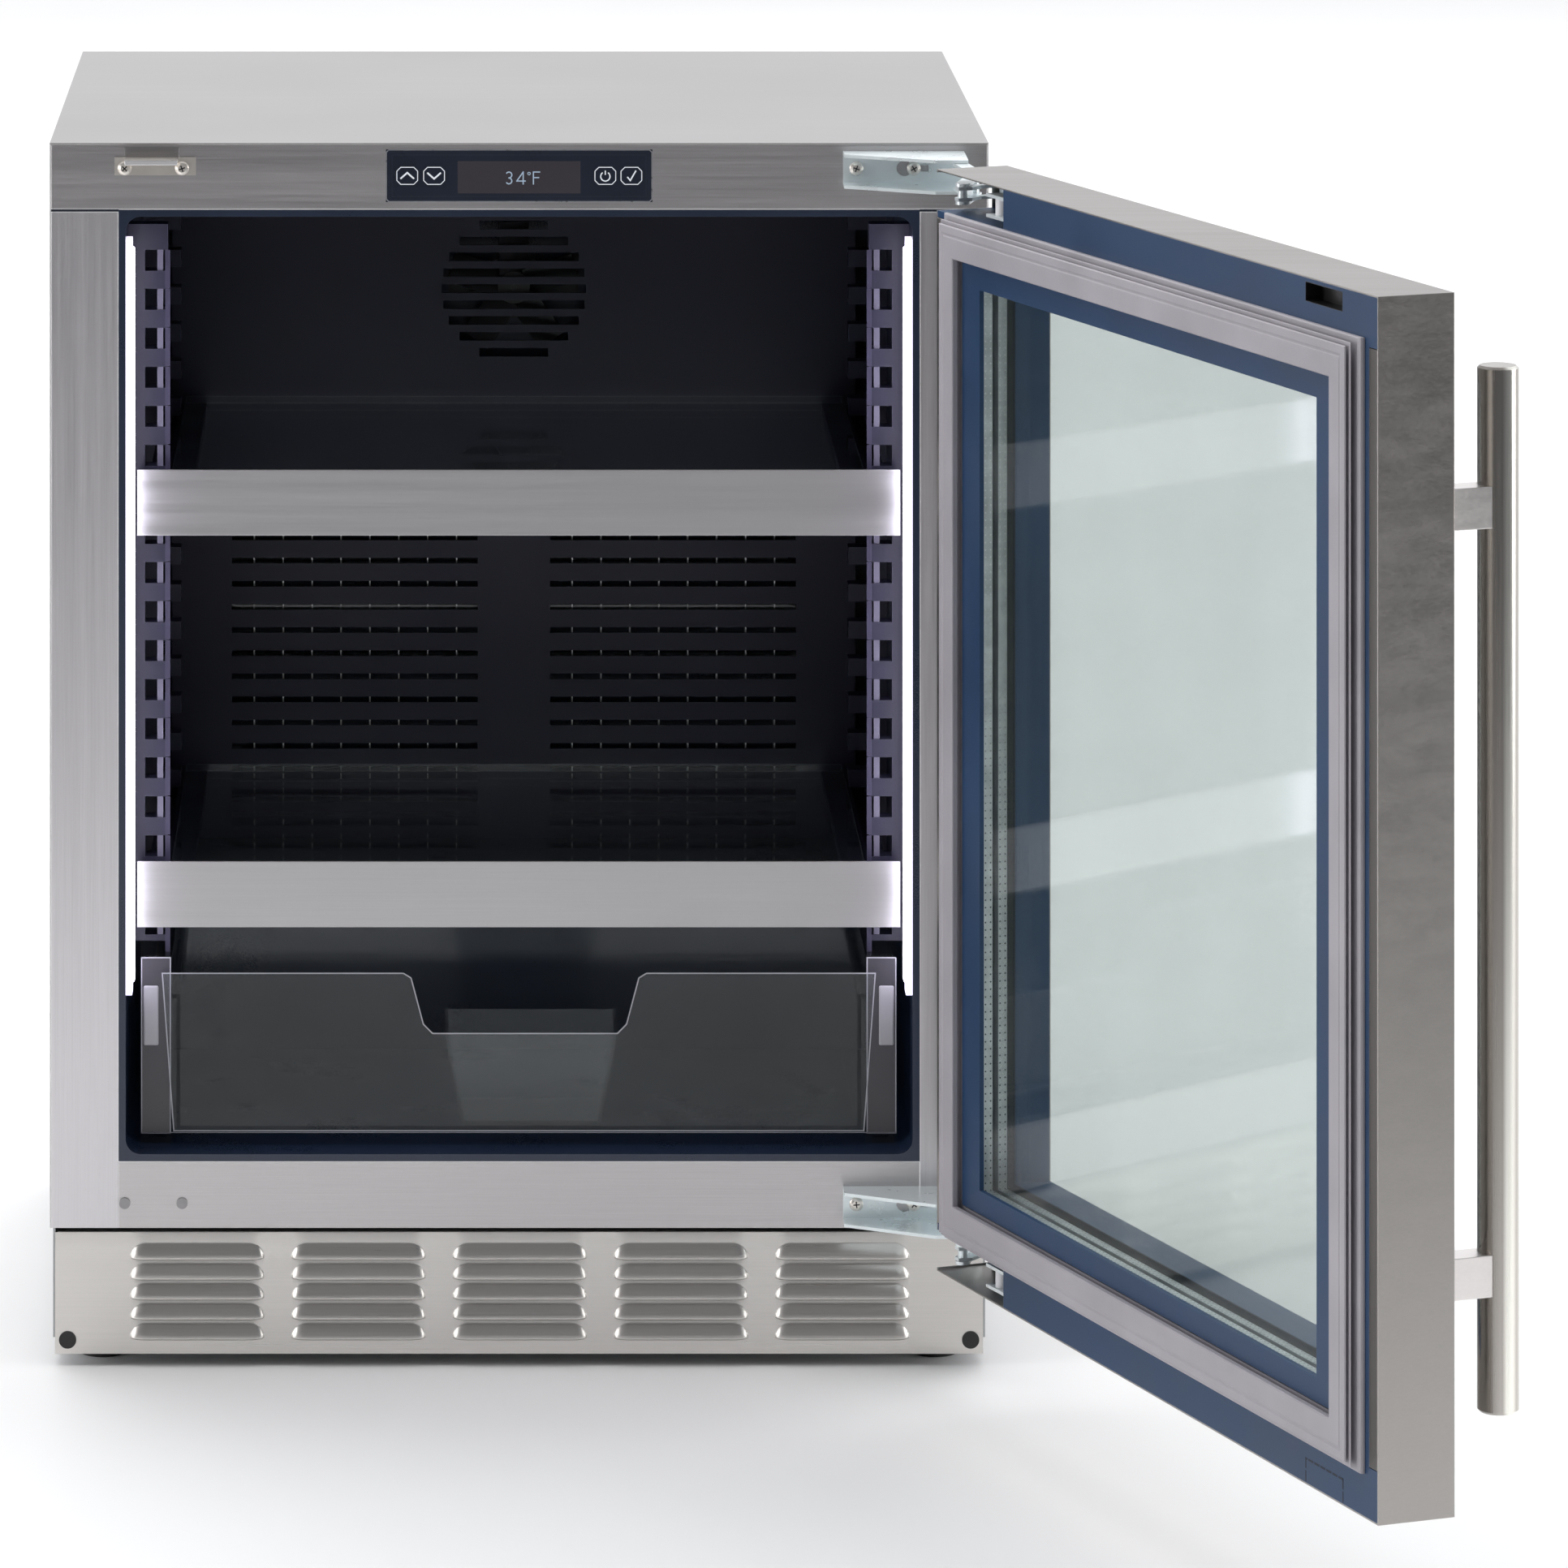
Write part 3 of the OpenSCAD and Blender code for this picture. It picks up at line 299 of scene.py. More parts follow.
def glowing(name, rgb, strength, surface=(0.9, 0.9, 0.92)):
    """A lit diffuser or display mark, or a part with a painted glow."""
    s = Shader(name)
    cloud = s.noise(40.0, detail=2.0)
    s.principled(
        Base_Color=shade(surface, 1), Roughness=s.span(cloud, 0.4, 0.55),
        Emission_Color=shade(rgb, 1), Emission_Strength=s.span(cloud, strength * 0.95, strength * 1.05),
    )
    return s.material


# stretch of the brush marks along each axis
ALONG_X = (0.012, 1, 1)
ALONG_Z = (1, 1, 0.012)

# the case, fascia, stile, kick plate, door and handle tube and post steels are one stainless steel in lit and
# shaded copies: each base colour is set lighter or darker as painted light and shade for how light falls on
# that part
steel_top = brushed("steel_case", (0.56, 0.545, 0.535), ALONG_X, rough=0.36)
steel_face = brushed("steel_face", (0.60, 0.58, 0.585), ALONG_X, rough=0.34)
steel_stile = brushed("steel_stile", (0.72, 0.70, 0.72), ALONG_Z, rough=0.34)
steel_kick = brushed("steel_kick", (0.72, 0.695, 0.665), ALONG_X, rough=0.32, contrast=0.05)
steel_door = brushed("steel_door", (0.43, 0.41, 0.39), ALONG_X, rough=0.34, contrast=0.05)
steel_handle = brushed(
    "steel_handle", (0.50, 0.47, 0.435), ALONG_Z, rough=0.22, grain=1400.0, contrast=0.04, painted_bar_light=True
)
steel_post = brushed("steel_post", (0.96, 0.92, 0.90), ALONG_X, rough=0.36, contrast=0.04)
steel_shade = brushed("steel_shade", (0.15, 0.14, 0.135), ALONG_Z, rough=0.4)
steel_painted_shade = brushed("steel_painted_shade", (0.45, 0.44, 0.44), ALONG_X, rough=0.34)
steel_highlight = brushed("steel_highlight", (0.95, 0.94, 0.95), ALONG_X, rough=0.45, contrast=0.03)
steel_trim = brushed("steel_trim", (0.57, 0.56, 0.57), ALONG_X, rough=0.36, contrast=0.05)
galvanised = plated("galvanised_sheet", (0.46, 0.47, 0.48), rough=0.42, spangle=60.0)
zinc = plated("zinc_plate", (0.86, 0.93, 0.95), rough=0.28, spangle=45.0, mottle=0.04, metallic=0.5)
nickel = plated("nickel_plate", (0.84, 0.79, 0.73), rough=0.28, spangle=60.0, mottle=0.04, metallic=0.8)
plug_grey = plated("plug_grey", (0.36, 0.35, 0.36), rough=0.4, spangle=60.0, metallic=0.6)
navy = moulded("liner_navy", (0.012, 0.022, 0.050), rough=0.30, coat=0.3)
door_navy = moulded("door_navy", (0.009, 0.040, 0.106), rough=0.45)
post_navy = moulded("post_navy", (0.030, 0.030, 0.060), rough=0.38)
cover_navy = moulded("cover_navy", (0.018, 0.018, 0.040), rough=0.45)
panel_navy = moulded("panel_navy", (0.012, 0.018, 0.034), rough=0.18, coat=0.5, bump=0.05)
display = moulded("display_smoke", (0.055, 0.048, 0.058), rough=0.16, coat=0.5, bump=0.03)
black = moulded("black_plastic", (0.012, 0.012, 0.013), rough=0.35)
cord = moulded("cord_rubber", (0.016, 0.016, 0.017), rough=0.55, grain=600.0)
white = moulded("white_plastic", (0.80, 0.80, 0.82), rough=0.35)
board = moulded("board_green", (0.02, 0.10, 0.045), rough=0.4, variation=0.25)
foam = moulded("rigid_foam", (0.70, 0.60, 0.34), rough=0.8, grain=500.0, bump=0.5, variation=0.15)
coil = plated("coil_aluminium", (0.66, 0.67, 0.68), rough=0.35)
condenser = plated("condenser_metal", (0.40, 0.41, 0.42), rough=0.4)
copper = plated("copper", (0.72, 0.36, 0.20), rough=0.28)
enamel = moulded("black_enamel", (0.014, 0.014, 0.015), rough=0.25, coat=0.4, grain=300.0, bump=0.2)
spacer = dotted("spacer_aluminium", (0.74, 0.78, 0.79))
vinyl = moulded("gasket_vinyl", (0.375, 0.355, 0.385), rough=0.42, grain=900.0, bump=0.1)
glass = clear("door_glass", (0.914, 0.930, 0.925), haze=0.01, ior=1.2)
shelf_glass = clear("shelf_glass", (0.93, 0.96, 0.95), haze=0.02)
clear_plastic = clear("crisper_plastic", (0.96, 0.97, 0.98), haze=0.02, painted_edge_amount=0.0, ior=1.3, rim=0.0007)
bezel_highlight = plated("bezel_highlight", (0.42, 0.43, 0.46), rough=0.3, metallic=0.6)
frame_tint = moulded("crisper_frame", (0.045, 0.042, 0.055), rough=0.3, coat=0.4)
rim_light = moulded("clear_plastic_rim", (0.42, 0.42, 0.47), rough=0.3)
guide_grey = moulded("guide_plastic", (0.50, 0.49, 0.53), rough=0.4)
slot_highlight = moulded("slot_highlight", (0.20, 0.19, 0.26), rough=0.35)
post_edge = moulded("post_edge", (0.055, 0.050, 0.095), rough=0.4)
reveal_navy = moulded("reveal_navy", (0.026, 0.088, 0.210), rough=0.5)
shadow_navy = moulded("shadow_navy", (0.006, 0.010, 0.022), rough=0.6)
led = glowing("led_diffuser", (0.90, 0.86, 1.0), 7.5)
# the channel round each light strip glows as painted light; only the lens is the lamp
painted_led_channel_glow = glowing("led_channel", (0.80, 0.74, 1.0), 1.6)
digit_blue = glowing("digit_blue", (0.32, 0.40, 0.52), 0.7, (0.2, 0.25, 0.3))
key_white = glowing("key_white", (0.75, 0.80, 0.88), 0.35, (0.7, 0.72, 0.76))

finishes = {
    steel_top: ["outer_case"],
    steel_face: ["top_fascia", "bottom_rail"],
    steel_stile: ["face_stiles"],
    navy: ["inner_liner"],
    foam: ["cabinet_insulation", "door_insulation"],
    galvanised: ["back_panel", "underside_sheet", "base_tray", "fan_shroud"],
    steel_kick: ["kick_plate"],
    black: [
        "kick_plate_plugs", "front_left_foot", "front_right_foot", "rear_left_foot", "rear_right_foot",
        "evaporator_fan", "condenser_fan", "fan_motors",
    ],
    panel_navy: ["control_bezel", "up_key", "down_key", "power_key", "confirm_key"],
    display: ["display_window"],
    board: ["control_board"],
    zinc: ["hinge_bases", "hinge_outer_arms", "hinge_inner_arms", "door_hinge_brackets"],
    nickel: ["catch_bracket", "fixing_screws"],
    plug_grey: ["hole_plugs"],
    painted_led_channel_glow: ["led_channels"],
    led: ["led_diffusers"],
    post_navy: ["shelf_posts", "upper_shelf_runners", "lower_shelf_runners"],
    shelf_glass: ["upper_shelf_glass", "lower_shelf_glass"],
    glass: ["glass_panes"],
    steel_trim: ["upper_shelf_trim", "lower_shelf_trim"],
    clear_plastic: ["crisper_runners", "crisper_bin", "crisper_cup"],
    cover_navy: ["evaporator_cover"],
    coil: ["evaporator_coil"],
    condenser: ["condenser_coil"],
    enamel: ["compressor"],
    copper: ["filter_drier", "refrigerant_lines"],
    cord: ["power_cord"],
    steel_door: ["door_skin"],
    door_navy: ["door_liner"],
    spacer: ["glass_spacers"],
    vinyl: ["gasket"],
    steel_handle: ["handle_tube"],
    steel_post: ["handle_posts"],
}
for material, names in finishes.items():
    for name in names:
        nodes[name].data.materials.clear()
        nodes[name].data.materials.append(material)

# ---------------------------------------------------------------- edges of the CAD pieces

bevels = {
    "outer_case": 0.5, "top_fascia": 0.6, "face_stiles": 0.6, "bottom_rail": 0.5, "control_bezel": 0.2,
    "upper_shelf_trim": 0.4, "lower_shelf_trim": 0.4, "shelf_posts": 0.4, "crisper_bin": 0.6,
    "crisper_runners": 0.5, "door_skin": 0.4, "door_liner": 0.6, "hinge_bases": 0.4, "handle_posts": 0.6,
    "hinge_outer_arms": 0.3, "hinge_inner_arms": 0.3, "door_hinge_brackets": 0.3, "catch_bracket": 0.3,
    "back_panel": 0.2, "base_tray": 0.3, "evaporator_cover": 0.3, "glass_panes": 0.3,
    "upper_shelf_glass": 0.5, "lower_shelf_glass": 0.5, "crisper_cup": 0.5,
}
for name, width in bevels.items():
    edge = nodes[name].modifiers.new("edges", "BEVEL")
    edge.width = width * MM
    edge.segments = 2
    edge.limit_method = "ANGLE"
    edge.angle_limit = math.radians(35)

# ---------------------------------------------------------------- pieces built as meshes


def build(name, vertices, faces, material, body, place=None, sharp=35, weld=False):
    """A mesh piece from corners in millimetres that rides on a body."""
    if place:
        vertices = [place(v) for v in vertices]
    mesh = bpy.data.meshes.new(name)
    mesh.from_pydata([tuple(c * MM for c in v) for v in vertices], [], faces)
    shape = bmesh.new()
    shape.from_mesh(mesh)
    if weld:
        bmesh.ops.remove_doubles(shape, verts=shape.verts, dist=0.00002)
        bmesh.ops.dissolve_degenerate(shape, edges=shape.edges, dist=0.00001)
    bmesh.ops.recalc_face_normals(shape, faces=shape.faces)
    shape.to_mesh(mesh)
    shape.free()
    for polygon in mesh.polygons:
        polygon.use_smooth = True
    mesh.set_sharp_from_angle(angle=math.radians(sharp))
    mesh.materials.append(material)
    piece = bpy.data.objects.new(name, mesh)
    bpy.context.scene.collection.objects.link(piece)
    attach(piece, body)
    return piece


def prism_faces(first, count):
    """Faces of a prism whose two outlines of count corners start at corner number first."""
    faces = [tuple(range(first, first + count))]
    faces.append(tuple(range(first + 2 * count - 1, first + count - 1, -1)))
    for k in range(count):
        after = (k + 1) % count
        faces.append((first + k, first + after, first + count + after, first + count + k))
    return faces


def plates(name, outlines, y_front, y_back, material, body, place=None):
    """Thin upright plates: each outline is a list of (x, z) corners."""
    vertices, faces = [], []
    for outline in outlines:
        faces += prism_faces(len(vertices), len(outline))
        vertices += [(x, y_front, z) for x, z in outline]
        vertices += [(x, y_back, z) for x, z in outline]
    return build(name, vertices, faces, material, body, place)


def rectangle(x0, z0, x1, z1):
    return [(x0, z0), (x1, z0), (x1, z1), (x0, z1)]


def rounded(piece, width, segments):
    """A small round on every edge of a piece; the width is in millimetres."""
    edge = piece.modifiers.new("edges", "BEVEL")
    edge.width = width * MM
    edge.segments = segments
    return edge


def stroke(a, b, width):
    """A straight pen stroke from a to b with square ends."""
    a, b = Vector(a), Vector(b)
    along = (b - a).normalized() * width / 2
    across = Vector((-along.y, along.x))
    corners = (a - along + across, a - along - across, b + along - across, b + along + across)
    return [tuple(p) for p in corners]


def loop(points, width, closed=True):
    """A line of even width through the points, as a run of four-cornered plates."""
    count = len(points)
    sides = []
    for k in range(count):
        before = Vector(points[(k - 1) % count] if closed or k else points[0])
        after = Vector(points[(k + 1) % count] if closed or k < count - 1 else points[-1])
        here = Vector(points[k])
        first = (here - before).normalized() if before != here else (after - here).normalized()
        second = (after - here).normalized() if after != here else first
        middle = (first + second).normalized()
        normal = Vector((-middle.y, middle.x)) * width / 2 / max(0.4, middle.dot(first))
        sides.append((here + normal, here - normal))
    runs = range(count if closed else count - 1)
    return [
        [tuple(p) for p in (sides[k][0], sides[k][1], sides[(k + 1) % count][1], sides[(k + 1) % count][0])]
        for k in runs
    ]


def arc(centre, radius, start, end, steps=12):
    angles = [math.radians(start + (end - start) * k / steps) for k in range(steps + 1)]
    return [(centre[0] + radius * math.cos(a), centre[1] + radius * math.sin(a)) for a in angles]


# kick plate: one sheet with rows of pressed hoods, each open along its lower edge
KICK_X = 299.6
KICK_Z = (8.0, 86.5)
KICK_Y = 4.0
KICK_T = 0.9
KICK_FLANGE_X = 298.0
KICK_FLANGE_Y = (5.0, 16.0)
KICK_FLANGE_T = 1.0
HOOD_W = 85.0
HOOD_H = 9.2
HOOD_OUT = 4.4
HOOD_END = 9.5
HOOD_CURL = 0.6
HOOD_PITCH_X = 104.1
HOOD_X0 = 0.4
HOOD_PITCH_Z = 12.9
HOOD_Z0 = 18.8
HOOD_ROWS = 5
HOOD_COLUMNS = (-2, -1, 0, 1, 2)


def kick_plate():
    end_steps = 9
    profile_steps = 8
    drops = [HOOD_END * (1 - math.cos(math.pi / 2 * k / end_steps)) for k in range(end_steps + 1)]
    lines = [(-KICK_X, 0.0)]
    for column in HOOD_COLUMNS:
        middle = HOOD_X0 + column * HOOD_PITCH_X
        left = [(middle - HOOD_W / 2 + d, d) for d in drops]
        right = [(middle + HOOD_W / 2 - d, d) for d in reversed(drops)]
        lines += left + right
    lines.append((KICK_X, 0.0))
    vertices, rows = [], []

    def add_row(height, out_of):
        rows.append(len(vertices))
        for x, inward in lines:
            fullness = math.sqrt(max(0.0, 1 - (1 - min(1.0, inward / HOOD_END)) ** 2))
            z, out = height(fullness), out_of(fullness)
            vertices.append((x, KICK_Y - out, z))

    add_row(lambda f: KICK_Z[0], lambda f: 0.0)
    open_rows = []
    for row in range(HOOD_ROWS):
        bottom = HOOD_Z0 + row * HOOD_PITCH_Z
        add_row(lambda f: bottom, lambda f: 0.0)
        open_rows.append(len(rows) - 1)
        add_row(lambda f: bottom - HOOD_CURL * f, lambda f: (HOOD_OUT - HOOD_CURL) * f)
        for k in range(profile_steps + 1):
            rise = k / profile_steps
            add_row(
                lambda f: bottom + HOOD_H * f * rise,
                lambda f: HOOD_OUT * f * (1 - rise ** 1.5),
            )
    add_row(lambda f: KICK_Z[1], lambda f: 0.0)
    faces = []
    count = len(lines)
    for number in range(len(rows) - 1):
        if number in open_rows:
            continue
        for k in range(count - 1):
            a, b = rows[number] + k, rows[number + 1] + k
            faces.append((a, a + 1, b + 1, b))
    sheet = build("kick_plate_sheet", vertices, faces, steel_kick, "cabinet", sharp=40, weld=True)
    thick = sheet.modifiers.new("thickness", "SOLIDIFY")
    thick.thickness = KICK_T * MM
    thick.offset = -1.0
    even = sheet.modifiers.new("even", "WEIGHTED_NORMAL")
    even.keep_sharp = True
    flange = rectangle(-KICK_FLANGE_X, KICK_Z[1] - KICK_FLANGE_T, KICK_FLANGE_X, KICK_Z[1])
    plates("kick_plate_flange", [flange], *KICK_FLANGE_Y, steel_kick, "cabinet")
    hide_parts("kick_plate")


kick_plate()

# gasket: bellows swept round the door, (distance in from its outer edge, height above the liner);
# its foot is cut back at the top and bottom, where the hinge bases pass
GASKET_HALF = Vector((283.0, 320.5))
FOOT_AT_HINGES = -2.2
GASKET_PROFILE = [
    (23.3, 0), (23.3, 1.2), (22.6, 1.6), (18.6, 1.9), (18.0, 4.4), (23.0, 5.0), (23.5, 5.6), (23.5, 8.8),
    (22.7, 9.6), (10.6, 9.6), (9.9, 9.1), (8.9, 9.1), (8.2, 9.6), (3.8, 9.5), (3.1, 8.9), (3.2, 8.2),
    (8.4, 7.7), (8.4, 7.1), (1.2, 6.9), (0.8, 6.6), (1.2, 6.3), (8.0, 5.8), (8.0, 3.6), (-1.4, 3.2),
    (-3.2, 2.6), (-4.0, 1.4), (-4.0, 0),
]


def gasket():
    count = len(GASKET_PROFILE)
    vertices, faces = [], []
    corners = [(-1, -1), (1, -1), (1, 1), (-1, 1)]
    for across, up in corners:
        for inward, height in GASKET_PROFILE:
            x = across * (GASKET_HALF.x - inward)
            z = MID_Z + up * (GASKET_HALF.y - max(inward, FOOT_AT_HINGES))
            vertices.append((x, DOOR_IN_Y + height, z))
    for corner in range(4):
        here, there = corner * count, (corner + 1) % 4 * count
        for k in range(count):
            after = (k + 1) % count
            faces.append((here + k, here + after, there + after, there + k))
    bellows = build("gasket_bellows", vertices, faces, vinyl, "door", on_open_door)
    edge = rounded(bellows, 0.35, 2)
    edge.limit_method = "ANGLE"
    edge.angle_limit = math.radians(30)
    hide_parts("gasket")


gasket()

# control panel: rim as a painted highlight along the bezel's edge, figures and key marks
PANEL_Y = -0.25
PANEL_Z = 769.0
FIGURE_LINE = 0.75


def octagon(x, z, width, height, cut):
    w, h = width / 2, height / 2
    return [
        (x - w, z - h + cut), (x - w + cut, z - h), (x + w - cut, z - h), (x + w, z - h + cut),
        (x + w, z + h - cut), (x + w - cut, z + h), (x - w + cut, z + h), (x - w, z + h - cut),
    ]


def panel_marks():
    rim = octagon(0, PANEL_Z, 171.4, 33.4, 1.6)
    plates("panel_rim", loop(rim, 0.7), PANEL_Y - 0.03, PANEL_Y, bezel_highlight, "cabinet")

    low, middle, high = 763.7, 767.6, 771.4
    three = arc((-6.6, (middle + high) / 2), 1.9, 150, -90, 9)
    three += arc((-6.6, (low + middle) / 2), 1.9, 90, -150, 9)
    four = [(3.9, 765.6), (-1.5, 765.6), (2.6, high), (2.6, low)]
    degree = arc((6.4, 770.4), 0.85, 0, 330, 8)
    letter = [((9.2, low), (9.2, high)), ((9.2, high), (13.2, high)), ((9.2, 767.8), (12.6, 767.8))]
    figures = loop(three, FIGURE_LINE, False)
    figures += [stroke(a, b, FIGURE_LINE) for a, b in zip(four, four[1:])]
    figures += loop(degree, 0.5)
    figures += [stroke(a, b, FIGURE_LINE) for a, b in letter]
    plates("display_figures", figures, PANEL_Y - 0.04, PANEL_Y, digit_blue, "cabinet")

    keys = {
        "up": ("up_button", -72.2, [[(-4.4, -1.9), (0, 2.0), (4.4, -1.9)]], 1.1),
        "down": ("down_button", -54.9, [[(-4.4, 2.0), (0, -1.9), (4.4, 2.0)]], 1.1),
        "power": ("power_button", 55.6, [arc((0, -0.4), 3.0, 125, 415, 18), [(0, 0.6), (0, 3.4)]], 0.8),
        "confirm": ("confirm_button", 72.4, [[(-2.6, -0.7), (-0.7, -3.0), (3.0, 3.4)]], 0.9),
    }
    for name, (body, x, lines, width) in keys.items():
        marks = loop(octagon(x, PANEL_Z, 13.4, 11.0, 2.5), 0.55)
        for line in lines:
            placed = [(x + a, PANEL_Z + b) for a, b in line]
            marks += loop(placed, width, False)
        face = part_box(name + "_key")[0].y / MM
        plates(name + "_key_mark", marks, face - 0.05, face, key_white, body)


panel_marks()

# cross recesses of the screw heads, black plates as painted shade in the recesses: (x, z, where the head is
# seated)
HINGE_Z = (774.0, 106.0)
SCREW_X = (217.5, 254.5)
SCREW_HEAD = 2.8
SCREWS = [(-x, HINGE_Z[0], -1.5) for x in SCREW_X]
SCREWS += [(x, z, -2.0) for x in SCREW_X for z in HINGE_Z]
RECESS_ARM = 1.7
RECESS_LINE = 0.8


def screw_marks():
    for number, (x, z, seat) in enumerate(SCREWS):
        turn = math.radians(20 + 25 * number)
        arm = Vector((math.cos(turn), math.sin(turn))) * RECESS_ARM
        rise = Vector((-arm.y, arm.x))
        here = Vector((x, z))
        cross = [stroke(here - side, here + side, RECESS_LINE) for side in (arm, rise)]
        front = seat - SCREW_HEAD
        plates(f"screw_recess_{number + 1}", cross, front - 0.02, front + 0.4, black, "cabinet")


screw_marks()

# a knock-out marked by a broken line in the liner near the lower latch corner
KNOCK_OUT = [(-259.4, 94.3), (-259.4, 106.9), (-212.5, 106.9), (-212.5, 94.3)]
DASH_L = 5.0
DASH_W = 1.3
DASH_GAP = 2.6


def knock_out():
    dashes = []
    for a, b in zip(KNOCK_OUT, KNOCK_OUT[1:]):
        a, b = Vector(a), Vector(b)
        along = (b - a).normalized()
        here = 0.0
        while here < (b - a).length - 1:
            there = min(here + DASH_L, (b - a).length)
            dashes.append(stroke(a + along * here, a + along * there, DASH_W))
            here = there + DASH_GAP
    plates("knock_out_line", dashes, DOOR_IN_Y, DOOR_IN_Y + 0.05, shadow_navy, "door", on_open_door)


knock_out()

# roller and its two-armed fork at the blind end of each hinge notch: (x, y) outline, heights of the arms
FORK = [(214, -12), (232, -11.5), (230, -24), (214, -30), (206, -30), (206, -12)]
FORK_ARMS = ((5.4, 7.4), (-7.4, -5.4))
ROLLER = (221.0, -17.5)
ROLLER_R = 4.2
ROLLER_HALF = 5.3


def cylinder(x, y, z0, z1, radius, sides=20):
    """Corners and faces of an upright cylinder."""
    vertices, faces = [], []
    for k in range(sides):
        turn = 2 * math.pi * k / sides
        for z in (z0, z1):
            vertices.append((x + radius * math.cos(turn), y + radius * math.sin(turn), z))
    for k in range(sides):
        after = (k + 1) % sides
        faces.append((2 * k, 2 * after, 2 * after + 1, 2 * k + 1))
    faces.append(tuple(range(0, 2 * sides, 2)))
    faces.append(tuple(range(2 * sides - 1, 0, -2)))
    return vertices, faces


def hinge_fork(label, z):
    vertices, faces = [], []
    for low, high in FORK_ARMS:
        faces += prism_faces(len(vertices), len(FORK))
        vertices += [(x, y, z + low) for x, y in FORK] + [(x, y, z + high) for x, y in FORK]
    build(f"{label}_hinge_fork", vertices, faces, zinc, "door", on_open_door)
    vertices, faces = cylinder(*ROLLER, z - ROLLER_HALF, z + ROLLER_HALF, ROLLER_R)
    build(f"{label}_hinge_roller", vertices, faces, white, "door", on_open_door)


for label, z in zip(("upper", "lower"), HINGE_Z):
    hinge_fork(label, z)

# pale guide blocks at the front of the crisper's runners
GUIDE_X = (233.5, 243.5)
GUIDE_Y = (28.5, 36.0)
GUIDE_Z = (201.0, 240.0)


def crisper_guides():
    for label, side in (("left", -1), ("right", 1)):
        outline = rectangle(side * GUIDE_X[0], GUIDE_Z[0], side * GUIDE_X[1], GUIDE_Z[1])
        guide = plates(f"{label}_crisper_guide", [outline], *GUIDE_Y, guide_grey, "cabinet")
        rounded(guide, 1.2, 3)


crisper_guides()

# the crisper's front sheet and side frames catch the light along their edges
RIM_W = 0.8
FRAME_RIM_W = 0.7
BIN_Y = 24.0
BIN_FRONT = [
    (-224, 147), (224, 147), (231.5, 249), (83, 249), (78, 246), (70, 216), (64, 210), (-56, 210),
    (-62, 216), (-70, 246), (-75, 249), (-231.5, 249),
]
FRAME_X = (226.0, 244.6)
FRAME_Y = (29.2, 29.9)
FRAME_Z = (144.4, 258.0)


def crisper_edges():
    inside = [(x * 0.998, z) for x, z in BIN_FRONT]
    plates("crisper_front_rim", loop(inside, RIM_W), BIN_Y - 0.1, BIN_Y, rim_light, "crisper")
    frames, rims = [], []
    for side in (-1, 1):
        outline = rectangle(side * FRAME_X[0], FRAME_Z[0], side * FRAME_X[1], FRAME_Z[1])
        frames.append(outline)
        rims += loop(outline, FRAME_RIM_W)
    rims.append(rectangle(-FRAME_X[1], FRAME_Z[0], FRAME_X[1], FRAME_Z[0] + 0.5))
    plates("crisper_frame_fronts", frames, *FRAME_Y, frame_tint, "cabinet")
    plates("crisper_frame_rims", rims, FRAME_Y[0] - 0.3, FRAME_Y[0], rim_light, "cabinet")


crisper_edges()

# folded edges of the face frame: bright lines of painted highlight, with a dark joint under the fascia
OPEN_X = 258.5
RAIL_Z = 133.0
JOINT_Z = (745.8, 747.3)
CASE_Z = (90.0, 789.4)
FOLD_W = 0.6
SIDE_FOLD_W = 0.7
OPENING_FOLD_W = 0.5


def face_frame_highlights():
    low, high = JOINT_Z
    edges = [rectangle(-HALF_W + 1, high, HALF_W - 1, high + FOLD_W)]
    joints = []
    for side in (-1, 1):
        inner, outer = side * OPEN_X, side * (HALF_W - 1)
        edges.append(rectangle(inner, low - FOLD_W, outer, low))
        edges.append(rectangle(side * (HALF_W - SIDE_FOLD_W), CASE_Z[0], side * HALF_W, CASE_Z[1]))
        edges.append(rectangle(inner, RAIL_Z, inner + side * OPENING_FOLD_W, low - FOLD_W))
        joints.append(rectangle(inner, low, outer, high))
    edges.append(rectangle(-OPEN_X, RAIL_Z - FOLD_W, OPEN_X, RAIL_Z))
    plates("face_frame_highlights", edges, -0.06, 0.0, steel_highlight, "cabinet")
    plates("face_frame_joints", joints, -0.06, 0.0, shadow_navy, "cabinet")


face_frame_highlights()

# the bright folded lip of the catch, a painted highlight, as (x0, z0, x1, z1), and a patch of painted shade
# on the fascia above it
CATCH_TONGUE = (-254.0, MID_Z + 337.9, -220.0, MID_Z + 341.0)
CATCH_Y = -17.5


def catch_details():
    left, low, right, _ = CATCH_TONGUE
    plates("catch_lip", [rectangle(*CATCH_TONGUE)], CATCH_Y - 0.3, CATCH_Y, steel_highlight, "cabinet")
    shaded = rectangle(left - 0.8, low, right + 0.8, CASE_Z[1] - 2)
    plates("catch_painted_shade", [shaded], -0.05, 0.0, steel_painted_shade, "cabinet")


catch_details()

# the door's steel return on its latch side, darkened as painted shade, the reveal on the outer side of its
# glass and the catch pocket, lined black as painted shade, each as (x0, z0, x1, z1)
DOOR_RETURN = (-301.6, 122.5, -292.4, 757.5)
POCKET = (-258.8, 773.7, -212.2, 784.8)
POCKET_Y = -20.4
WINDOW = (-237.8, 159.2, 237.8, 720.8)
REVEAL_Y = (-57.6, -34.3)
LINING_W = 0.3


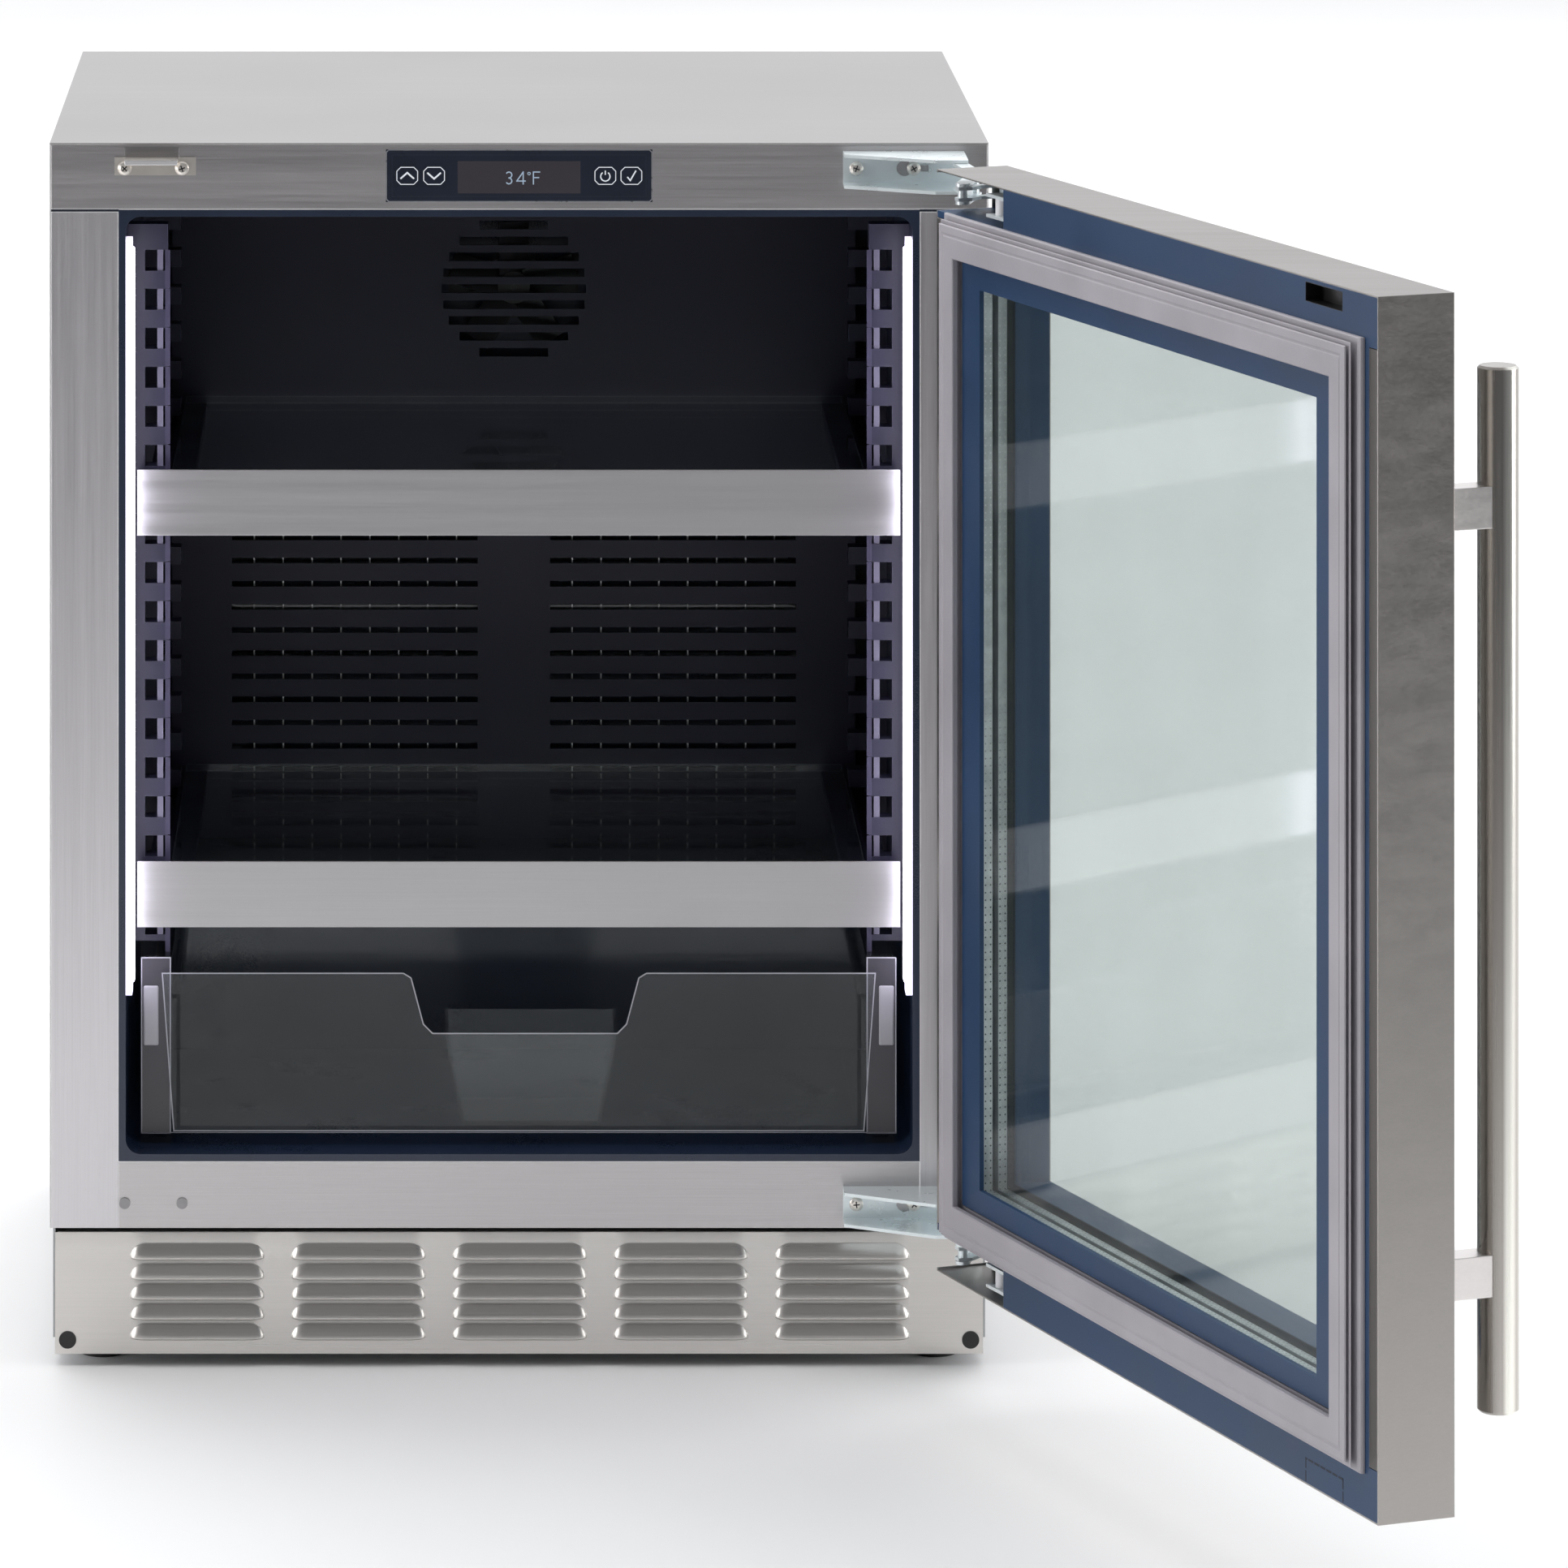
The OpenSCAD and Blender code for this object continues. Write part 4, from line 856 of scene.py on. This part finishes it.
def door_details():
    strip = rectangle(*DOOR_RETURN)
    plates("latch_side_return", [strip], DOOR_IN_Y, DOOR_IN_Y + 0.06, steel_shade, "door", on_open_door)
    reveal = loop(rectangle(*WINDOW), LINING_W)
    plates("window_reveal", reveal, *REVEAL_Y, reveal_navy, "door", on_open_door)
    floor = rectangle(*POCKET)
    walls = loop(floor, LINING_W)
    plates("catch_pocket_walls", walls, POCKET_Y + 0.1, DOOR_IN_Y + 0.02, black, "door", on_open_door)
    plates("catch_pocket_floor", [floor], POCKET_Y, POCKET_Y + 0.2, black, "door", on_open_door)


door_details()

# front shelf posts: the strip closing the slots and bright bars of painted highlight inside them
SLOT_Z0 = 269.4
SLOT_H = 13.7
SLOT_PITCH = 25.4
SLOTS = 18
SHELF_SLOTS = (1, 11)
BAR_X = (231.2, 235.0)
STRIP_X = (226.6, 229.8)
STRIP_DROP = 11.0
POST_Y = 46.0


def post_details():
    bars, strips = [], []
    for side in (-1, 1):
        for k in range(SLOTS):
            if k in SHELF_SLOTS:
                continue
            low = SLOT_Z0 + k * SLOT_PITCH
            high = low + SLOT_H
            bars.append(rectangle(side * BAR_X[0], low, side * BAR_X[1], high))
            strips.append(rectangle(side * STRIP_X[0], low - STRIP_DROP, side * STRIP_X[1], high))
    plates("post_slot_bars", bars, POST_Y + 1, POST_Y + 2, slot_highlight, "cabinet")
    plates("post_edge_strips", strips, POST_Y - 0.4, POST_Y, post_edge, "cabinet")


post_details()

# lens of each light strip
LENS_X = (248.4, 253.9)
LENS_Y = (5.4, 16.0)
LENS_Z = (247.0, 721.5)


def led_lenses():
    outlines = [rectangle(side * LENS_X[0], LENS_Z[0], side * LENS_X[1], LENS_Z[1]) for side in (-1, 1)]
    lenses = plates("led_lenses", outlines, *LENS_Y, led, "cabinet")
    rounded(lenses, 1.5, 3)
    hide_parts("led_diffusers")


led_lenses()

# ---------------------------------------------------------------- light, floor and camera


def area_light(name, place, target, size, power, glossy=True):
    """A soft rectangular light aimed at a point; a light that is not glossy leaves no reflection."""
    data = bpy.data.lights.new(name, "AREA")
    data.shape = "RECTANGLE"
    data.size, data.size_y = size
    data.energy = power
    light = bpy.data.objects.new(name, data)
    light.location = place
    light.visible_glossy = glossy
    light.rotation_euler = (Vector(target) - Vector(place)).to_track_quat("-Z", "Y").to_euler()
    bpy.context.scene.collection.objects.link(light)


def pale_floor():
    """Pale round the object, and darker far in front, where only reflections show it."""
    mesh = bpy.data.meshes.new("floor")
    side = 40.0
    corners = [(-side, -side, 0), (side, -side, 0), (side, side, 0), (-side, side, 0)]
    mesh.from_pydata(corners, [], [(0, 1, 2, 3)])
    floor = bpy.data.objects.new("floor", mesh)
    bpy.context.scene.collection.objects.link(floor)
    s = Shader("pale_floor")
    cloud = s.noise(1.5, detail=3.0)
    pale = s.mix(s.span(cloud, 0, 1), (0.86, 0.86, 0.86, 1), (0.89, 0.89, 0.89, 1))
    split = s.add("ShaderNodeSeparateXYZ")
    s.put(split.inputs[0], s.coords)
    forward = s.math("MINIMUM", split.outputs["Y"], 0.0)
    away = s.math(
        "SQRT", s.math("ADD", s.math("POWER", split.outputs["X"], 2.0), s.math("POWER", forward, 2.0))
    )
    in_front = s.span(split.outputs["Y"], 1.0, 0.0, -0.6, 0.6)
    near = s.math("SUBTRACT", 1.0, s.math("MULTIPLY", s.span(away, 0.0, 1.0, 1.2, 3.6), in_front))
    s.principled(
        Base_Color=s.mix(near, (0.16, 0.16, 0.165, 1), pale),
        Roughness=s.span(cloud, 0.55, 0.65), Specular_IOR_Level=0.2,
    )
    mesh.materials.append(s.material)


def studio_world():
    """Bright behind the object and at its sides, dim in front."""
    world = bpy.data.worlds.new("studio")
    world.use_nodes = True
    tree = world.node_tree
    background = tree.nodes["Background"]
    coords = tree.nodes.new("ShaderNodeTexCoord")
    split = tree.nodes.new("ShaderNodeSeparateXYZ")
    ramp = tree.nodes.new("ShaderNodeMapRange")
    ramp.interpolation_type = "SMOOTHSTEP"
    tree.links.new(coords.outputs["Generated"], split.inputs[0])
    tree.links.new(split.outputs["Y"], ramp.inputs["Value"])
    ramp.inputs["From Min"].default_value = -0.5
    ramp.inputs["From Max"].default_value = 0.45
    ramp.inputs["To Min"].default_value = 0.2
    ramp.inputs["To Max"].default_value = 1.0
    tree.links.new(ramp.outputs[0], background.inputs["Strength"])
    background.inputs["Color"].default_value = (0.97, 0.975, 1.0, 1)
    bpy.context.scene.world = world


CAMERA_PLACE = (-0.05118, -5.5621, 1.4846)
CAMERA_SHIFT = {"shift_x": 0.2195, "shift_y": -1.0952}


def photo_camera():
    """A level camera with a shifted lens; the shift is dropped when the camera is moved elsewhere."""
    data = bpy.data.cameras.new("camera")
    data.sensor_width = 36.0
    data.lens = 197.9
    data.clip_start, data.clip_end = 0.1, 100.0
    camera = bpy.data.objects.new("camera", data)
    camera.location = CAMERA_PLACE
    camera.rotation_euler = (math.pi / 2, 0, 0)
    bpy.context.scene.collection.objects.link(camera)
    bpy.context.scene.camera = camera
    for path, value in CAMERA_SHIFT.items():
        driver = data.driver_add(path).driver
        driver.type = "SCRIPTED"
        for letter in "yz":
            variable = driver.variables.new()
            variable.name = letter
            variable.type = "TRANSFORMS"
            variable.targets[0].id = camera
            variable.targets[0].transform_type = "LOC_" + letter.upper()
            variable.targets[0].transform_space = "WORLD_SPACE"
        at_home = f"abs(y - ({CAMERA_PLACE[1]})) < 0.0005 and abs(z - ({CAMERA_PLACE[2]})) < 0.0005"
        driver.expression = f"{value} if {at_home} else 0"


pale_floor()
studio_world()
photo_camera()
area_light("overhead", (-0.2, 0.2, 3.4), (0, 0.1, 0.0), (3.4, 3.0), 80, glossy=False)
area_light("rear_sweep", (0, 5.0, 3.6), (0, 4.6, 0), (9.0, 6.0), 260, glossy=False)
area_light("left_softbox", (-2.9, -0.9, 1.0), (0, 0, 0.35), (1.0, 1.8), 26)
area_light("right_softbox", (3.1, -0.5, 1.0), (0.3, -0.2, 0.35), (1.0, 1.8), 26)
bpy.context.scene.view_settings.view_transform = "Standard"
